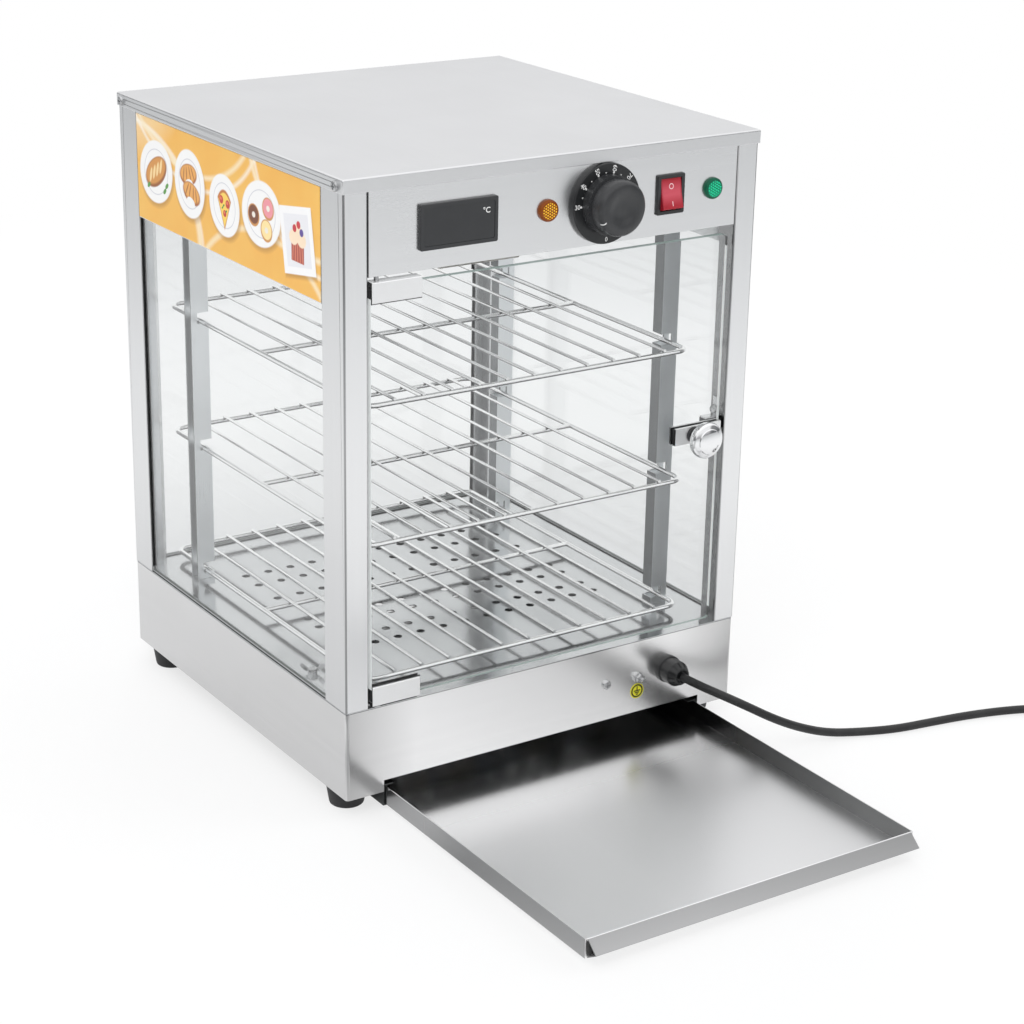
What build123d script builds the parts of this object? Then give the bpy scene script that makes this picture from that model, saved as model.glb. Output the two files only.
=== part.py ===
from build123d import *
import math
import os

# A countertop plate warmer cabinet. Millimetres, +Z up, front towards -Y.
# The origin is on the floor, under the centre of the case.

# ---- Case: sheet steel box on four feet
WIDTH = 370.0
DEPTH = 369.0
HEIGHT = 500.0
FOOT_HEIGHT = 17.0
BASE_HEIGHT = 73.5
SHEET = 1.0
BEND = 1.5
BASE_CORNER = 3.0
FIT_GAP = 0.2

# ---- Feet
FOOT_TOP_DIAMETER = 25.0
FOOT_BOTTOM_DIAMETER = 20.0
FOOT_EDGE = 1.5
FOOT_INSET_X = 19.0
FOOT_INSET_Y = 27.0
FOOT_SCREW_RECESS = 8.0
FOOT_RECESS_DIAMETER = 11.0

# ---- Screws
SCREW_SHANK = 4.0
SCREW_HEAD = 8.0
SCREW_HEAD_HEIGHT = 2.4
SCREW_LENGTH = 9.0
SCREW_CLEARANCE = 0.05
CROSS_LENGTH = 4.6
CROSS_WIDTH = 0.9
CROSS_DEPTH = 1.1
SCREW_ROUNDING = 1.44
BASE_SCREW_INSET = 128.2
BASE_SCREW_Z = 58.5
ROOF_SCREW_INSET = 8.5
ROOF_SCREW_DROP = 6.0

# ---- Base: tray slot, bottom return, earth stud and cable gland
SLOT_INSET = 33.2
SLOT_HEIGHT = 9.8
REAR_RETURN = 30.2
EARTH_STUD_INSET = 95.7
EARTH_STUD_Z = 57.0
EARTH_STUD_LENGTH = 12.0
EARTH_WASHER = 9.0
EARTH_NUT = 7.0
EARTH_NUT_HEIGHT = 3.2
EARTH_LABEL_INSET = 96.8
EARTH_LABEL_Z = 45.6
EARTH_LABEL_DIAMETER = 13.2
LABEL_THICKNESS = 0.3
GLAND_INSET = 66.0
GLAND_Z = 58.5
GLAND_DIAMETER = 21.0
GLAND_LENGTH = 21.0
GLAND_ROUNDING = 5.0
GLAND_THREAD = 15.8
GLAND_THREAD_LENGTH = 10.0
GLAND_NUT_WIDTH = 20.0
GLAND_NUT_HEIGHT = 5.0

# ---- Deck plate with its vent holes and its two wing nuts (an ear's outline is in shares
# ---- of half the nut's span and of its height)
VENT_DIAMETER = 7.0
VENT_PITCH = 21.5
VENT_COLUMNS = 12
VENT_ROWS = (101.5, 78.0, 44.5, -8.0, -27.0, -55.5, -75.0)
WING_NUT_INSET = 17.5
WING_NUT_SETBACK = 79.5
WING_HUB_DIAMETER = 7.5
WING_HUB_HEIGHT = 4.5
WING_SPAN = 20.0
WING_HEIGHT = 9.0
WING_THICKNESS = 1.6
WING_EAR = [(0, 0.1), (0.55, 0.25), (1.0, 0.75), (0.8, 1.0), (0.4, 0.55), (0, 0.45)]
WING_TURN = 35.0
WING_STUD_DROP = 6.0

# ---- Drip tray and the runners that carry it
TRAY_SIDE_CLEARANCE = 1.8
TRAY_REAR_CLEARANCE = 0.8
TRAY_HEIGHT = 15.5
TRAY_TRAVEL = 266.0
TRAY_FRONT_CLEARANCE = 2.0
TRAY_LIP_REACH = 10.5
TRAY_LIP_DROP = 9.0
TRAY_LIP_INSET = 2.0
TRAY_LIP_WALL = 1.6
TRAY_RISE = 2.8
RUNNER_GAP = 0.6
RUNNER_LIFT = 0.3
RUNNER_SHELF = 9.6
RUNNER_KEEPER = 7.6
RUNNER_FLANGE = 8.4
RUNNER_FRONT_INSET = 0.5

# ---- Corner posts, each a folded strip with a pocket for the side pane
POST_FACE = 20.0
POST_SIDE = 32.0
POST_RETURN = 20.0
PANE_POCKET = 6.0
REAR_POST_LIP = 8.0

# ---- Control head: ceiling, panel, headers and roof cover
HEAD_HEIGHT = 73.0
PANEL_RETURN = 18.5
PANEL_FOLD = 0.8
HEADER_DROP = 24.0
PRINT_THICKNESS = 0.3
PRINT_MARGIN = 0.8
ROOF_OVERHANG = 1.2
ROOF_FLANGE = 10.7
ROOF_CORNER = 0.9

# ---- Panes and their gaskets
PANE = 4.0
GASKET_WALL = 1.0
GASKET_WIDTH = 7.8
GASKET_FOOT = 1.2
PANE_SHIFT = -1.0
PANE_TOP_GAP = 0.3
PANE_END_GAP = 3.0
REAR_PANE_GAP = 0.4

# ---- Uprights that carry the shelves in notches
UPRIGHT_SHEET = 1.2
UPRIGHT_INSET = 43.5
UPRIGHT_DEPTH = 16.0
UPRIGHT_WIDTH = 12.0
UPRIGHT_SETBACK = 64.5
NOTCH_REACH = 10.3
NOTCH_HEIGHT = 9.0
NOTCH_GAP = 0.1

# ---- Wire shelves
SHELF_RISE = 8.0
SHELF_HEADROOM = 107.5
SHELF_ROD = 4.0
SHELF_WIRE = 2.6
SHELF_SEAT = 7.5
SHELF_FRONT_GAP = 30.5
SHELF_REAR_GAP = 11.5
SHELF_CORNER = 10.0
SHELF_WIRES = 11
SHELF_EDGE = 24.0
SHELF_WELD = 0.4

# ---- Frameless glass door with two pivot clamps
DOOR_PANE = 5.0
DOOR_LEFT_GAP = 2.5
DOOR_RIGHT_GAP = 5.5
DOOR_SETBACK = 0.5
DOOR_CORNER = 4.0
CLAMP_LENGTH = 42.0
CLAMP_OVERHANG = 0.2
CLAMP_PLATE = 1.7
CLAMP_HEIGHT = 12.5
CLAMP_CAP = 3.2
CLAMP_CHAMFER = 0.4
CLAMP_DECK_GAP = 1.5
CLAMP_CEILING_GAP = 3.8
LINER = 0.6
LINER_MARGIN = 0.8
CLAMP_SCREW_DIAMETER = 4.0
CLAMP_SCREW_SPACING = 18.0
CLAMP_SCREW_PROUD = 0.6
PIVOT_INSET = 6.0
PIN_DIAMETER = 3.5
PIN_GAP = 0.05
PIN_GRIP = 2.8
PIN_REACH = 2.5
WASHER_DIAMETER = 6.0
WASHER_GAP = 0.2

# ---- Door knob, its clip, and the magnetic catch behind it
KNOB_RISE = 2.4
KNOB_EDGE_INSET = 26.5
KNOB_NECK = 9.0
KNOB_FLANGE = 14.0
KNOB_FLANGE_THICKNESS = 1.5
KNOB_RIM = 30.0
KNOB_DOME = 25.0
KNOB_LENGTH = 24.0
KNOB_NECK_LENGTH = 8.0
KNOB_RIM_THICKNESS = 3.0
KNOB_FLARE = 22.5
KNOB_FLARE_LENGTH = 1.5
KNOB_FLANGE_TAPER = 1.0
KNOB_CROWN = 4.0
KNOB_CROWN_ROUNDING = 3.0
CLIP_LENGTH = 45.5
CLIP_HEIGHT = 14.0
CLIP_PLATE = 2.0
CLIP_WRAP = 1.0
CLIP_ROUNDING = 0.9
CATCH_ABOVE_CLIP = 1.5
CATCH_LEG = 16.0
CATCH_FOOT = 14.0
CATCH_WIDTH = 8.0
CATCH_SHEET = 1.2
CATCH_GAP = 0.3
MAGNET_LENGTH = 11.0
MAGNET_HEIGHT = 11.0

# ---- Digital display and lamps (the panel's free gaps, from left to right, keep these ratios)
PANEL_CENTRE_RISE = 0.35
PANEL_GAPS = (41.6, 36.6, 11.85, 17.75, 19.5, 15.2)
DISPLAY_WIDTH = 66.4
DISPLAY_HEIGHT = 34.0
DISPLAY_PROUD = 3.0
DISPLAY_FRAME = 3.0
DISPLAY_CORNER = 1.5
DISPLAY_CHAMFER = 0.5
DISPLAY_WINDOW = 1.5
DISPLAY_RECESS = 0.4
DISPLAY_BODY_DEPTH = 20.0
DISPLAY_BODY_INSET = 2.5
LAMP_DIAMETER = 16.8
LAMP_PROUD = 3.5
LAMP_ROUNDING = 2.1
LAMP_STEM = 12.0
LAMP_STEM_LENGTH = 16.0

# ---- Thermostat: fixed scale, turning knob, shaft, switch body and bulb
DIAL_MARGIN = 0.4
DIAL_THICKNESS = 4.5
DIAL_EDGE = 1.0
KNOB_BASE_DIAMETER = 46.0
KNOB_FRONT_DIAMETER = 43.0
KNOB_HEIGHT = 21.0
KNOB_SKIRT = 8.0
KNOB_DISC_GAP = 0.4
KNOB_ROUNDING = 2.5
POINTER_DIAMETER = 20.0
POINTER_STEP = 1.2
SHAFT_DIAMETER = 6.0
SHAFT_BORE_DEPTH = 14.0
SHAFT_TAIL = 5.0
SHAFT_GAP = 0.05
THERMOSTAT_WIDTH = 34.0
THERMOSTAT_DEPTH = 24.0
BULB_DIAMETER = 5.0
BULB_LENGTH = 70.0
BULB_OFFSET = 59.0
BULB_SETBACK = 26.5
BULB_CLIP = 4.0
CAPILLARY = 2.0
CAPILLARY_BEND = 4.0
CAPILLARY_OFFSET = 1.0

# ---- Rocker switch
SWITCH_WIDTH = 26.0
SWITCH_HEIGHT = 31.0
SWITCH_PROUD = 2.0
SWITCH_CORNER = 1.5
SWITCH_CHAMFER = 0.5
SWITCH_BODY_INSET = 2.0
SWITCH_BODY_DEPTH = 20.0
ROCKER_HALF_WIDTH = 9.5
ROCKER_RADIUS = 12.4
ROCKER_GAP = 0.35
ROCKER_TILT = 12.0
ROCKER_DISH = 4.0
ROCKER_FACE = 3.6
ROCKER_BACK = 3.0
ROCKER_AXLE = 3.0
ROCKER_AXLE_LENGTH = 1.4
ROCKER_PIVOT_DEPTH = 1.0

# ---- Heating element under the deck, its hangers and the terminal block
ELEMENT_DIAMETER = 8.0
ELEMENT_Z = 60.0
ELEMENT_RUNS = 4
ELEMENT_PITCH = 50.0
ELEMENT_REACH = 110.0
ELEMENT_TAIL = 135.0
ELEMENT_BEND = 22.0
TERMINAL_DIAMETER = 4.0
TERMINAL_LENGTH = 12.0
HANGER_X = 80.0
HANGER_SHEET = 1.5
HANGER_FLANGE = 12.0
HANGER_MARGIN = 12.0
BLOCK_LENGTH = 34.0
BLOCK_DEPTH = 16.0
BLOCK_HEIGHT = 18.0
BLOCK_WAYS = 3
BLOCK_HOLE = 3.6
BLOCK_HOLE_DEPTH = 9.0

# ---- Supply cord, 1.8 m: the laid stretch, a neat coil, and a two-pin plug
# ---- (the route's points are measured from the gland's mouth, and their height from the floor)
CORD_DIAMETER = 7.0
CORD_LENGTH = 1800.0
CORD_ROUTE = [
    (1.9, -17.8, 58.2),
    (11.5, -34.8, 54.2),
    (30.3, -45.8, 43.8),
    (54.0, -51.8, 29.3),
    (79.0, -55.5, 16.6),
    (107.0, -60.0, 6.4),
    (135.0, -68.0, 3.5),
    (166.0, -79.8, 3.5),
    (201.0, -85.0, 3.5),
    (241.0, -92.0, 3.5),
    (281.0, -104.0, 3.5),
    (313.0, -120.5, 3.5),
    (335.0, -131.8, 3.5),
]
CORD_BEND_SHARE = 0.45
COIL_LANES = 3
COIL_LAYERS = 2
COIL_SPACING = 7.1
COIL_SLACK = 0.15
COIL_LEAD_IN = 27.0
COIL_LEAD_OUT = 30.0
PLUG_FLOOR_GAP = 0.1
PLUG_RELIEF_LENGTH = 26.0
PLUG_RELIEF_DIAMETER = 11.0
PLUG_GRIP_LENGTH = 26.0
PLUG_GRIP_DIAMETER = 24.0
PLUG_SHOULDER = 4.0
PLUG_COLLAR = 1.0
PLUG_GRIP_TAPER = 3.0
PLUG_HEAD_LENGTH = 20.0
PLUG_HEAD_DIAMETER = 36.0
PLUG_GROOVE_WIDTH = 14.0
PLUG_GROOVE_DEPTH = 2.4
PLUG_PIN_DIAMETER = 4.8
PLUG_PIN_LENGTH = 19.0
PLUG_PIN_SPACING = 19.0
PLUG_PIN_ROUNDING = 1.2

# ---- Planes and edges that the pieces share
HALF_WIDTH = WIDTH / 2
HALF_DEPTH = DEPTH / 2
FRONT = -HALF_DEPTH
REAR = HALF_DEPTH
BASE_BOTTOM = FOOT_HEIGHT
SLOT_HALF_WIDTH = HALF_WIDTH - SLOT_INSET
BASE_SCREW_X = HALF_WIDTH - BASE_SCREW_INSET
EARTH_STUD_X = HALF_WIDTH - EARTH_STUD_INSET
EARTH_LABEL_X = HALF_WIDTH - EARTH_LABEL_INSET
GLAND_X = HALF_WIDTH - GLAND_INSET
GLAND_MOUTH = FRONT - GLAND_LENGTH
WING_NUT_X = HALF_WIDTH - WING_NUT_INSET
WING_NUT_Y = FRONT + WING_NUT_SETBACK
DECK_TOP = FOOT_HEIGHT + BASE_HEIGHT
DECK_UNDER = DECK_TOP - SHEET
CASE_TOP = HEIGHT - SHEET
CEILING_HEIGHT = HEIGHT - HEAD_HEIGHT
HEADER_BOTTOM = CEILING_HEIGHT - HEADER_DROP
PRINT_TOP = HEIGHT - ROOF_FLANGE - PRINT_MARGIN
PANEL_FACE_TOP = HEIGHT - ROOF_FLANGE
PANEL_CENTRE_Z = (CEILING_HEIGHT + PANEL_FACE_TOP) / 2 + PANEL_CENTRE_RISE
SIDE_INNER = HALF_WIDTH - SHEET
FRONT_INNER = FRONT + SHEET
REAR_INNER = REAR - SHEET
POST_INNER = HALF_WIDTH - POST_FACE
POCKET_INNER = SIDE_INNER - PANE_POCKET
POCKET_WALL = POCKET_INNER - SHEET
POST_EDGE = HALF_DEPTH - POST_SIDE
POCKET_END = HALF_DEPTH - POST_RETURN
REAR_POCKET = REAR_INNER - PANE_POCKET
PANEL_HALF = POST_INNER - FIT_GAP
REAR_HEADER_HALF = POST_INNER - REAR_POST_LIP - FIT_GAP
CEILING_TOP = CEILING_HEIGHT + SHEET
PANE_BOTTOM = DECK_TOP + GASKET_FOOT
PANE_TOP = CEILING_HEIGHT - PANE_TOP_GAP - GASKET_WALL
SIDE_PANE_OUTER = SIDE_INNER - GASKET_WALL
SIDE_PANE_FRONT = -POCKET_END + PANE_END_GAP + GASKET_WALL + PANE_SHIFT + FIT_GAP
SIDE_PANE_REAR = POCKET_END - PANE_END_GAP - GASKET_WALL + PANE_SHIFT - FIT_GAP
REAR_PANE_OUTER = REAR_INNER - GASKET_WALL
REAR_PANE_HALF = POST_INNER - REAR_PANE_GAP - GASKET_WALL
DOOR_FRONT = FRONT + DOOR_SETBACK
DOOR_REAR = DOOR_FRONT + DOOR_PANE
DOOR_MIDDLE = (DOOR_FRONT + DOOR_REAR) / 2
DOOR_LEFT = -POST_INNER + DOOR_LEFT_GAP
DOOR_RIGHT = POST_INNER - DOOR_RIGHT_GAP
CLAMP_LOW = DECK_TOP + CLAMP_DECK_GAP
CLAMP_HIGH = CEILING_HEIGHT - CLAMP_CEILING_GAP
DOOR_BOTTOM = CLAMP_LOW + CLAMP_CAP
DOOR_TOP = CLAMP_HIGH - CLAMP_CAP
CLAMP_LEFT = DOOR_LEFT - CLAMP_OVERHANG
CLAMP_HALF = DOOR_PANE / 2 + LINER + CLAMP_PLATE
PIVOT_X = CLAMP_LEFT + PIVOT_INSET
KNOB_Z = (CLAMP_LOW + CLAMP_HIGH) / 2 + KNOB_RISE
CLIP_LOW = KNOB_Z - CLIP_HEIGHT / 2
CLIP_HIGH = KNOB_Z + CLIP_HEIGHT / 2
CLIP_RIGHT = DOOR_RIGHT + CLIP_WRAP
CLIP_LEFT = CLIP_RIGHT - CLIP_LENGTH
CLIP_FRONT = DOOR_FRONT - LINER - CLIP_PLATE
CLIP_REAR = DOOR_REAR + LINER + CLIP_PLATE
KNOB_X = DOOR_RIGHT - KNOB_EDGE_INSET
CATCH_FRONT = CLIP_REAR + CATCH_GAP
TRAY_HALF_WIDTH = SLOT_HALF_WIDTH - TRAY_SIDE_CLEARANCE
TRAY_LENGTH = DEPTH - REAR_RETURN - TRAY_REAR_CLEARANCE + TRAY_FRONT_CLEARANCE
TRAY_OUT_FRONT = FRONT - TRAY_FRONT_CLEARANCE - TRAY_TRAVEL
TRAY_OUT_REAR = TRAY_OUT_FRONT + TRAY_LENGTH
RUNNER_INNER = TRAY_HALF_WIDTH + RUNNER_GAP
TRAY_TOP = BASE_BOTTOM + SHEET + FIT_GAP + TRAY_RISE
TRAY_BOTTOM = TRAY_TOP - TRAY_HEIGHT
UPRIGHT_X = HALF_WIDTH - UPRIGHT_INSET
UPRIGHT_Y = HALF_DEPTH - UPRIGHT_SETBACK
SHELF_HALF_WIDTH = UPRIGHT_X + SHELF_SEAT
SHELF_PITCH = 2 * (SHELF_HALF_WIDTH - SHELF_EDGE) / (SHELF_WIRES - 1)
LOWEST_SHELF = DECK_TOP + SHELF_RISE
HIGHEST_SHELF = CEILING_HEIGHT - SHELF_HEADROOM
SHELF_LEVELS = (HIGHEST_SHELF, (HIGHEST_SHELF + LOWEST_SHELF) / 2, LOWEST_SHELF)
SHELF_FRONT = FRONT_INNER + SHELF_FRONT_GAP + SHEET
SHELF_REAR = REAR_INNER - SHELF_REAR_GAP - SHEET
DIAL_DIAMETER = PANEL_FACE_TOP - CEILING_HEIGHT - 2 * DIAL_MARGIN
FITTING_WIDTHS = (DISPLAY_WIDTH, LAMP_DIAMETER, DIAL_DIAMETER, SWITCH_WIDTH, LAMP_DIAMETER)
GAP_SCALE = (2 * POST_INNER - sum(FITTING_WIDTHS)) / sum(PANEL_GAPS)
FITTING_CENTRES = [
    -POST_INNER + GAP_SCALE * sum(PANEL_GAPS[:i + 1]) + sum(FITTING_WIDTHS[:i]) + width / 2
    for i, width in enumerate(FITTING_WIDTHS)
]
DISPLAY_X, AMBER_LAMP_X, DIAL_X, SWITCH_X, GREEN_LAMP_X = FITTING_CENTRES
BULB_X = DIAL_X - BULB_OFFSET
BULB_Y = FRONT + BULB_SETBACK
DIAL_FRONT = FRONT - DIAL_THICKNESS
TURN_KNOB_BACK = DIAL_FRONT - KNOB_DISC_GAP
SWITCH_FRONT = FRONT - SWITCH_PROUD
ROCKER_PIVOT = FRONT + ROCKER_PIVOT_DEPTH


# ---------------------------------------------------------------- helpers
def block(x, y, z):
    """A box between the low and high value of each axis."""
    size = [high - low for low, high in (x, y, z)]
    corner = Pos(x[0], y[0], z[0])
    return corner * Box(*size, align=(Align.MIN, Align.MIN, Align.MIN))


def rod(start, end, radius):
    """A round bar between two points."""
    axis = Vector(*end) - Vector(*start)
    bar = Cylinder(radius, axis.length, align=(Align.CENTER, Align.CENTER, Align.MIN))
    return Plane(origin=start, z_dir=axis) * bar


def group(*pieces):
    """Several separate solids that share one node."""
    solids = [solid for piece in pieces for solid in piece.solids()]
    return Compound(children=solids)


def mirrored(piece):
    """The piece's twin on the other side of the case."""
    return mirror(piece, about=Plane.YZ)


def both_sides(piece):
    """The piece with its twin on the other side of the case."""
    return group(piece, mirrored(piece))


def turned(profile, origin, axis):
    """A body of revolution: (radius, distance along the axis) points about an axis."""
    outline = make_face(Polyline(*[(r, 0, h) for r, h in profile], close=True))
    body = revolve(outline, axis=Axis.Z, revolution_arc=360)
    return Plane(origin=origin, z_dir=axis) * body


def strip(points, low, high, thickness=SHEET):
    """A sheet folded along (x, y) points of its middle line, standing from low to high."""
    half = thickness / 2
    body = Part()
    for (x0, y0), (x1, y1) in zip(points, points[1:]):
        x = (min(x0, x1) - half, max(x0, x1) + half)
        y = (min(y0, y1) - half, max(y0, y1) + half)
        body += block(x, y, (low, high))
    return body


def round_upright_edges(body, corners, radius):
    """Rounds the vertical edges nearest to the given (x, y) corners."""
    for x, y in corners:
        edges = body.edges().filter_by(Axis.Z)
        nearest = min(edges, key=lambda e: math.hypot(e.center().X - x, e.center().Y - y))
        body = fillet(nearest, radius)
    return body


def pan_screw(tip, out, length=SCREW_LENGTH, shank=SCREW_SHANK, head=SCREW_HEAD):
    """A cross-head screw: tip is where the head seats, out is where the head points."""
    seat = Plane(origin=tip, z_dir=out)
    down = (Align.CENTER, Align.CENTER, Align.MAX)
    up = (Align.CENTER, Align.CENTER, Align.MIN)
    cap = Cylinder(head / 2, SCREW_HEAD_HEIGHT, align=up)
    cap = fillet(cap.edges().sort_by(Axis.Z)[-1], SCREW_ROUNDING)
    for turn in (0, 90):
        slot = Box(CROSS_LENGTH, CROSS_WIDTH, CROSS_DEPTH, align=down)
        cap -= Pos(0, 0, SCREW_HEAD_HEIGHT) * Rot(0, 0, turn) * slot
    return seat * (cap + Cylinder(shank / 2, length, align=down))


def screw_hole(tip, out, depth=SCREW_LENGTH, shank=SCREW_SHANK):
    """The clear hole for a pan_screw of the same place."""
    start = Vector(*tip) + Vector(*out) * SHEET
    end = Vector(*tip) - Vector(*out) * depth
    return rod(tuple(start), tuple(end), shank / 2 + SCREW_CLEARANCE)


# ---------------------------------------------------------------- feet
FOOT_CENTRES = [
    (sx * (HALF_WIDTH - FOOT_INSET_X), sy * (HALF_DEPTH - FOOT_INSET_Y))
    for sx in (-1, 1)
    for sy in (-1, 1)
]


def rubber_foot(x, y):
    """A tapered rubber foot with a recess for its screw."""
    low, high = FOOT_BOTTOM_DIAMETER / 2, FOOT_TOP_DIAMETER / 2
    foot = Cone(low, high, FOOT_HEIGHT, align=(Align.CENTER, Align.CENTER, Align.MIN))
    foot = fillet(foot.edges().sort_by(Axis.Z)[0], FOOT_EDGE)
    foot -= rod((0, 0, 0), (0, 0, FOOT_SCREW_RECESS), FOOT_RECESS_DIAMETER / 2)
    foot -= rod((0, 0, 0), (0, 0, FOOT_HEIGHT), SCREW_SHANK / 2 + SCREW_CLEARANCE)
    return Pos(x, y, 0) * foot


def foot_screw(x, y):
    """The screw that holds a foot to the base's bottom return."""
    length = FOOT_HEIGHT - FOOT_SCREW_RECESS + SHEET + SCREW_HEAD_HEIGHT
    return pan_screw((x, y, FOOT_SCREW_RECESS), (0, 0, -1), length)


# ---------------------------------------------------------------- base
def vent_holes():
    """The cutters of the deck's vent holes, in straight columns."""
    first = -VENT_PITCH * (VENT_COLUMNS - 1) / 2
    columns = [first + VENT_PITCH * i for i in range(VENT_COLUMNS)]
    spots = [(x, y) for x in columns for y in VENT_ROWS]
    holes = Locations(*[(x, y, DECK_UNDER + SHEET / 2) for x, y in spots])
    return [place * Cylinder(VENT_DIAMETER / 2, 2 * SHEET) for place in holes]


def deck_plate():
    """The cabinet's floor, resting on the base shell."""
    plate = extrude(RectangleRounded(WIDTH, DEPTH, BASE_CORNER), SHEET)
    plate = Pos(0, 0, DECK_UNDER) * plate
    plate -= vent_holes()
    plate -= rod((PIVOT_X, DOOR_MIDDLE, DECK_UNDER), (PIVOT_X, DOOR_MIDDLE, DECK_TOP),
                 PIN_DIAMETER / 2 + PIN_GAP)
    for x in (-WING_NUT_X, WING_NUT_X):
        plate -= rod((x, WING_NUT_Y, DECK_UNDER), (x, WING_NUT_Y, DECK_TOP),
                     SCREW_SHANK / 2 + SCREW_CLEARANCE)
    return plate


def base_shell():
    """The base's four walls in one fold, with a return along the sides and the rear."""
    outer = RectangleRounded(WIDTH, DEPTH, BASE_CORNER)
    inner = RectangleRounded(WIDTH - 2 * SHEET, DEPTH - 2 * SHEET, BASE_CORNER - SHEET)
    shell = Pos(0, 0, BASE_BOTTOM) * extrude(outer - inner, BASE_HEIGHT - SHEET)
    ledge = Pos(0, 0, BASE_BOTTOM) * extrude(outer, SHEET)
    rear_edge = REAR - REAR_RETURN
    slot = (-SLOT_HALF_WIDTH, SLOT_HALF_WIDTH)
    shell += ledge - block(slot, (FRONT, rear_edge), (BASE_BOTTOM, DECK_TOP))
    shell -= block(slot, (FRONT, FRONT_INNER), (BASE_BOTTOM, BASE_BOTTOM + SLOT_HEIGHT))
    shell -= screw_hole((BASE_SCREW_X, FRONT, BASE_SCREW_Z), (0, -1, 0))
    shell -= screw_hole((EARTH_STUD_X, FRONT, EARTH_STUD_Z), (0, -1, 0))
    shell -= rod((GLAND_X, FRONT, GLAND_Z), (GLAND_X, FRONT_INNER, GLAND_Z),
                 GLAND_THREAD / 2 + SCREW_CLEARANCE)
    for x, y in FOOT_CENTRES:
        shell -= screw_hole((x, y, BASE_BOTTOM), (0, 0, -1))
    return shell


def wing_nut():
    """A wing nut on a stud that clamps the deck down, on the right-hand side."""
    foot = (WING_NUT_X, WING_NUT_Y, DECK_TOP)
    hub = Cylinder(WING_HUB_DIAMETER / 2, WING_HUB_HEIGHT,
                   align=(Align.CENTER, Align.CENTER, Align.MIN))
    ear = Polyline(*[(WING_SPAN / 2 * x, WING_HEIGHT * z) for x, z in WING_EAR], close=True)
    wing = extrude(Plane.XZ * make_face(ear), WING_THICKNESS / 2, both=True)
    hub += wing + mirror(wing, about=Plane.YZ)
    hub -= rod((0, 0, 0), (0, 0, WING_HUB_HEIGHT), SCREW_SHANK / 2 + SCREW_CLEARANCE)
    nut = Pos(*foot) * Rot(0, 0, WING_TURN) * hub
    low = DECK_UNDER - WING_STUD_DROP
    stud = rod((*foot[:2], low), (*foot[:2], DECK_TOP + WING_HUB_HEIGHT), SCREW_SHANK / 2)
    stud += rod((*foot[:2], low), (*foot[:2], DECK_UNDER), SCREW_SHANK)
    return group(nut, stud)


def earth_stud():
    """The earth terminal on the base's front: stud, washer and hexagonal nut."""
    at = (EARTH_STUD_X, EARTH_STUD_Z)
    inner = FRONT_INNER + SCREW_HEAD_HEIGHT
    outer = FRONT - EARTH_STUD_LENGTH + SCREW_HEAD_HEIGHT + SHEET
    stud = rod((at[0], inner, at[1]), (at[0], outer, at[1]), SCREW_SHANK / 2)
    stud += rod((at[0], FRONT_INNER, at[1]), (at[0], inner, at[1]), SCREW_HEAD / 2)
    hole = SCREW_SHANK / 2 + SCREW_CLEARANCE
    face = Plane(origin=(at[0], FRONT, at[1]), z_dir=(0, -1, 0))
    washer = face * extrude(Circle(EARTH_WASHER / 2) - Circle(hole), SHEET)
    hexagon = RegularPolygon(EARTH_NUT / 2, 6, major_radius=False) - Circle(hole)
    nut = face * Pos(0, 0, SHEET) * extrude(hexagon, EARTH_NUT_HEIGHT)
    return group(stud, washer, nut)


def earth_label():
    """The round earth label under the stud."""
    start = (EARTH_LABEL_X, FRONT, EARTH_LABEL_Z)
    end = (EARTH_LABEL_X, FRONT - LABEL_THICKNESS, EARTH_LABEL_Z)
    return rod(start, end, EARTH_LABEL_DIAMETER / 2)


def cable_gland():
    """The cord's strain relief, screwed through the base's front."""
    radius, r = GLAND_DIAMETER / 2, GLAND_ROUNDING
    collar = rod((GLAND_X, FRONT, GLAND_Z), (GLAND_X, GLAND_MOUTH, GLAND_Z), radius)
    collar = fillet(collar.edges().sort_by(Axis.Y)[0], r)
    inner_end = FRONT_INNER + GLAND_THREAD_LENGTH
    return collar + rod((GLAND_X, FRONT, GLAND_Z), (GLAND_X, inner_end, GLAND_Z), GLAND_THREAD / 2)


def gland_nut():
    """The hexagonal nut that locks the gland from inside."""
    section = RegularPolygon(GLAND_NUT_WIDTH / 2, 6, major_radius=False)
    section -= Circle(GLAND_THREAD / 2 + SCREW_CLEARANCE)
    face = Plane(origin=(GLAND_X, FRONT_INNER, GLAND_Z), z_dir=(0, 1, 0))
    return face * extrude(section, GLAND_NUT_HEIGHT)


# ---------------------------------------------------------------- tray
def tray_runner():
    """The right-hand runner: it carries the tray, keeps it down and hangs on the return."""
    y = (FRONT_INNER + RUNNER_FRONT_INSET, REAR - REAR_RETURN - FIT_GAP)
    low = TRAY_BOTTOM - RUNNER_LIFT - SHEET
    high = TRAY_TOP + RUNNER_LIFT + SHEET
    web = (RUNNER_INNER, RUNNER_INNER + SHEET)
    runner = block(web, y, (low, high))
    runner += block((web[1] - RUNNER_SHELF - SHEET, web[1]), y, (low, low + SHEET))
    runner += block((web[1] - RUNNER_KEEPER - SHEET, web[1]), y, (high - SHEET, high))
    seat = BASE_BOTTOM + SHEET
    runner += block((web[0], web[1] + RUNNER_FLANGE), y, (seat, seat + SHEET))
    return runner


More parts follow.
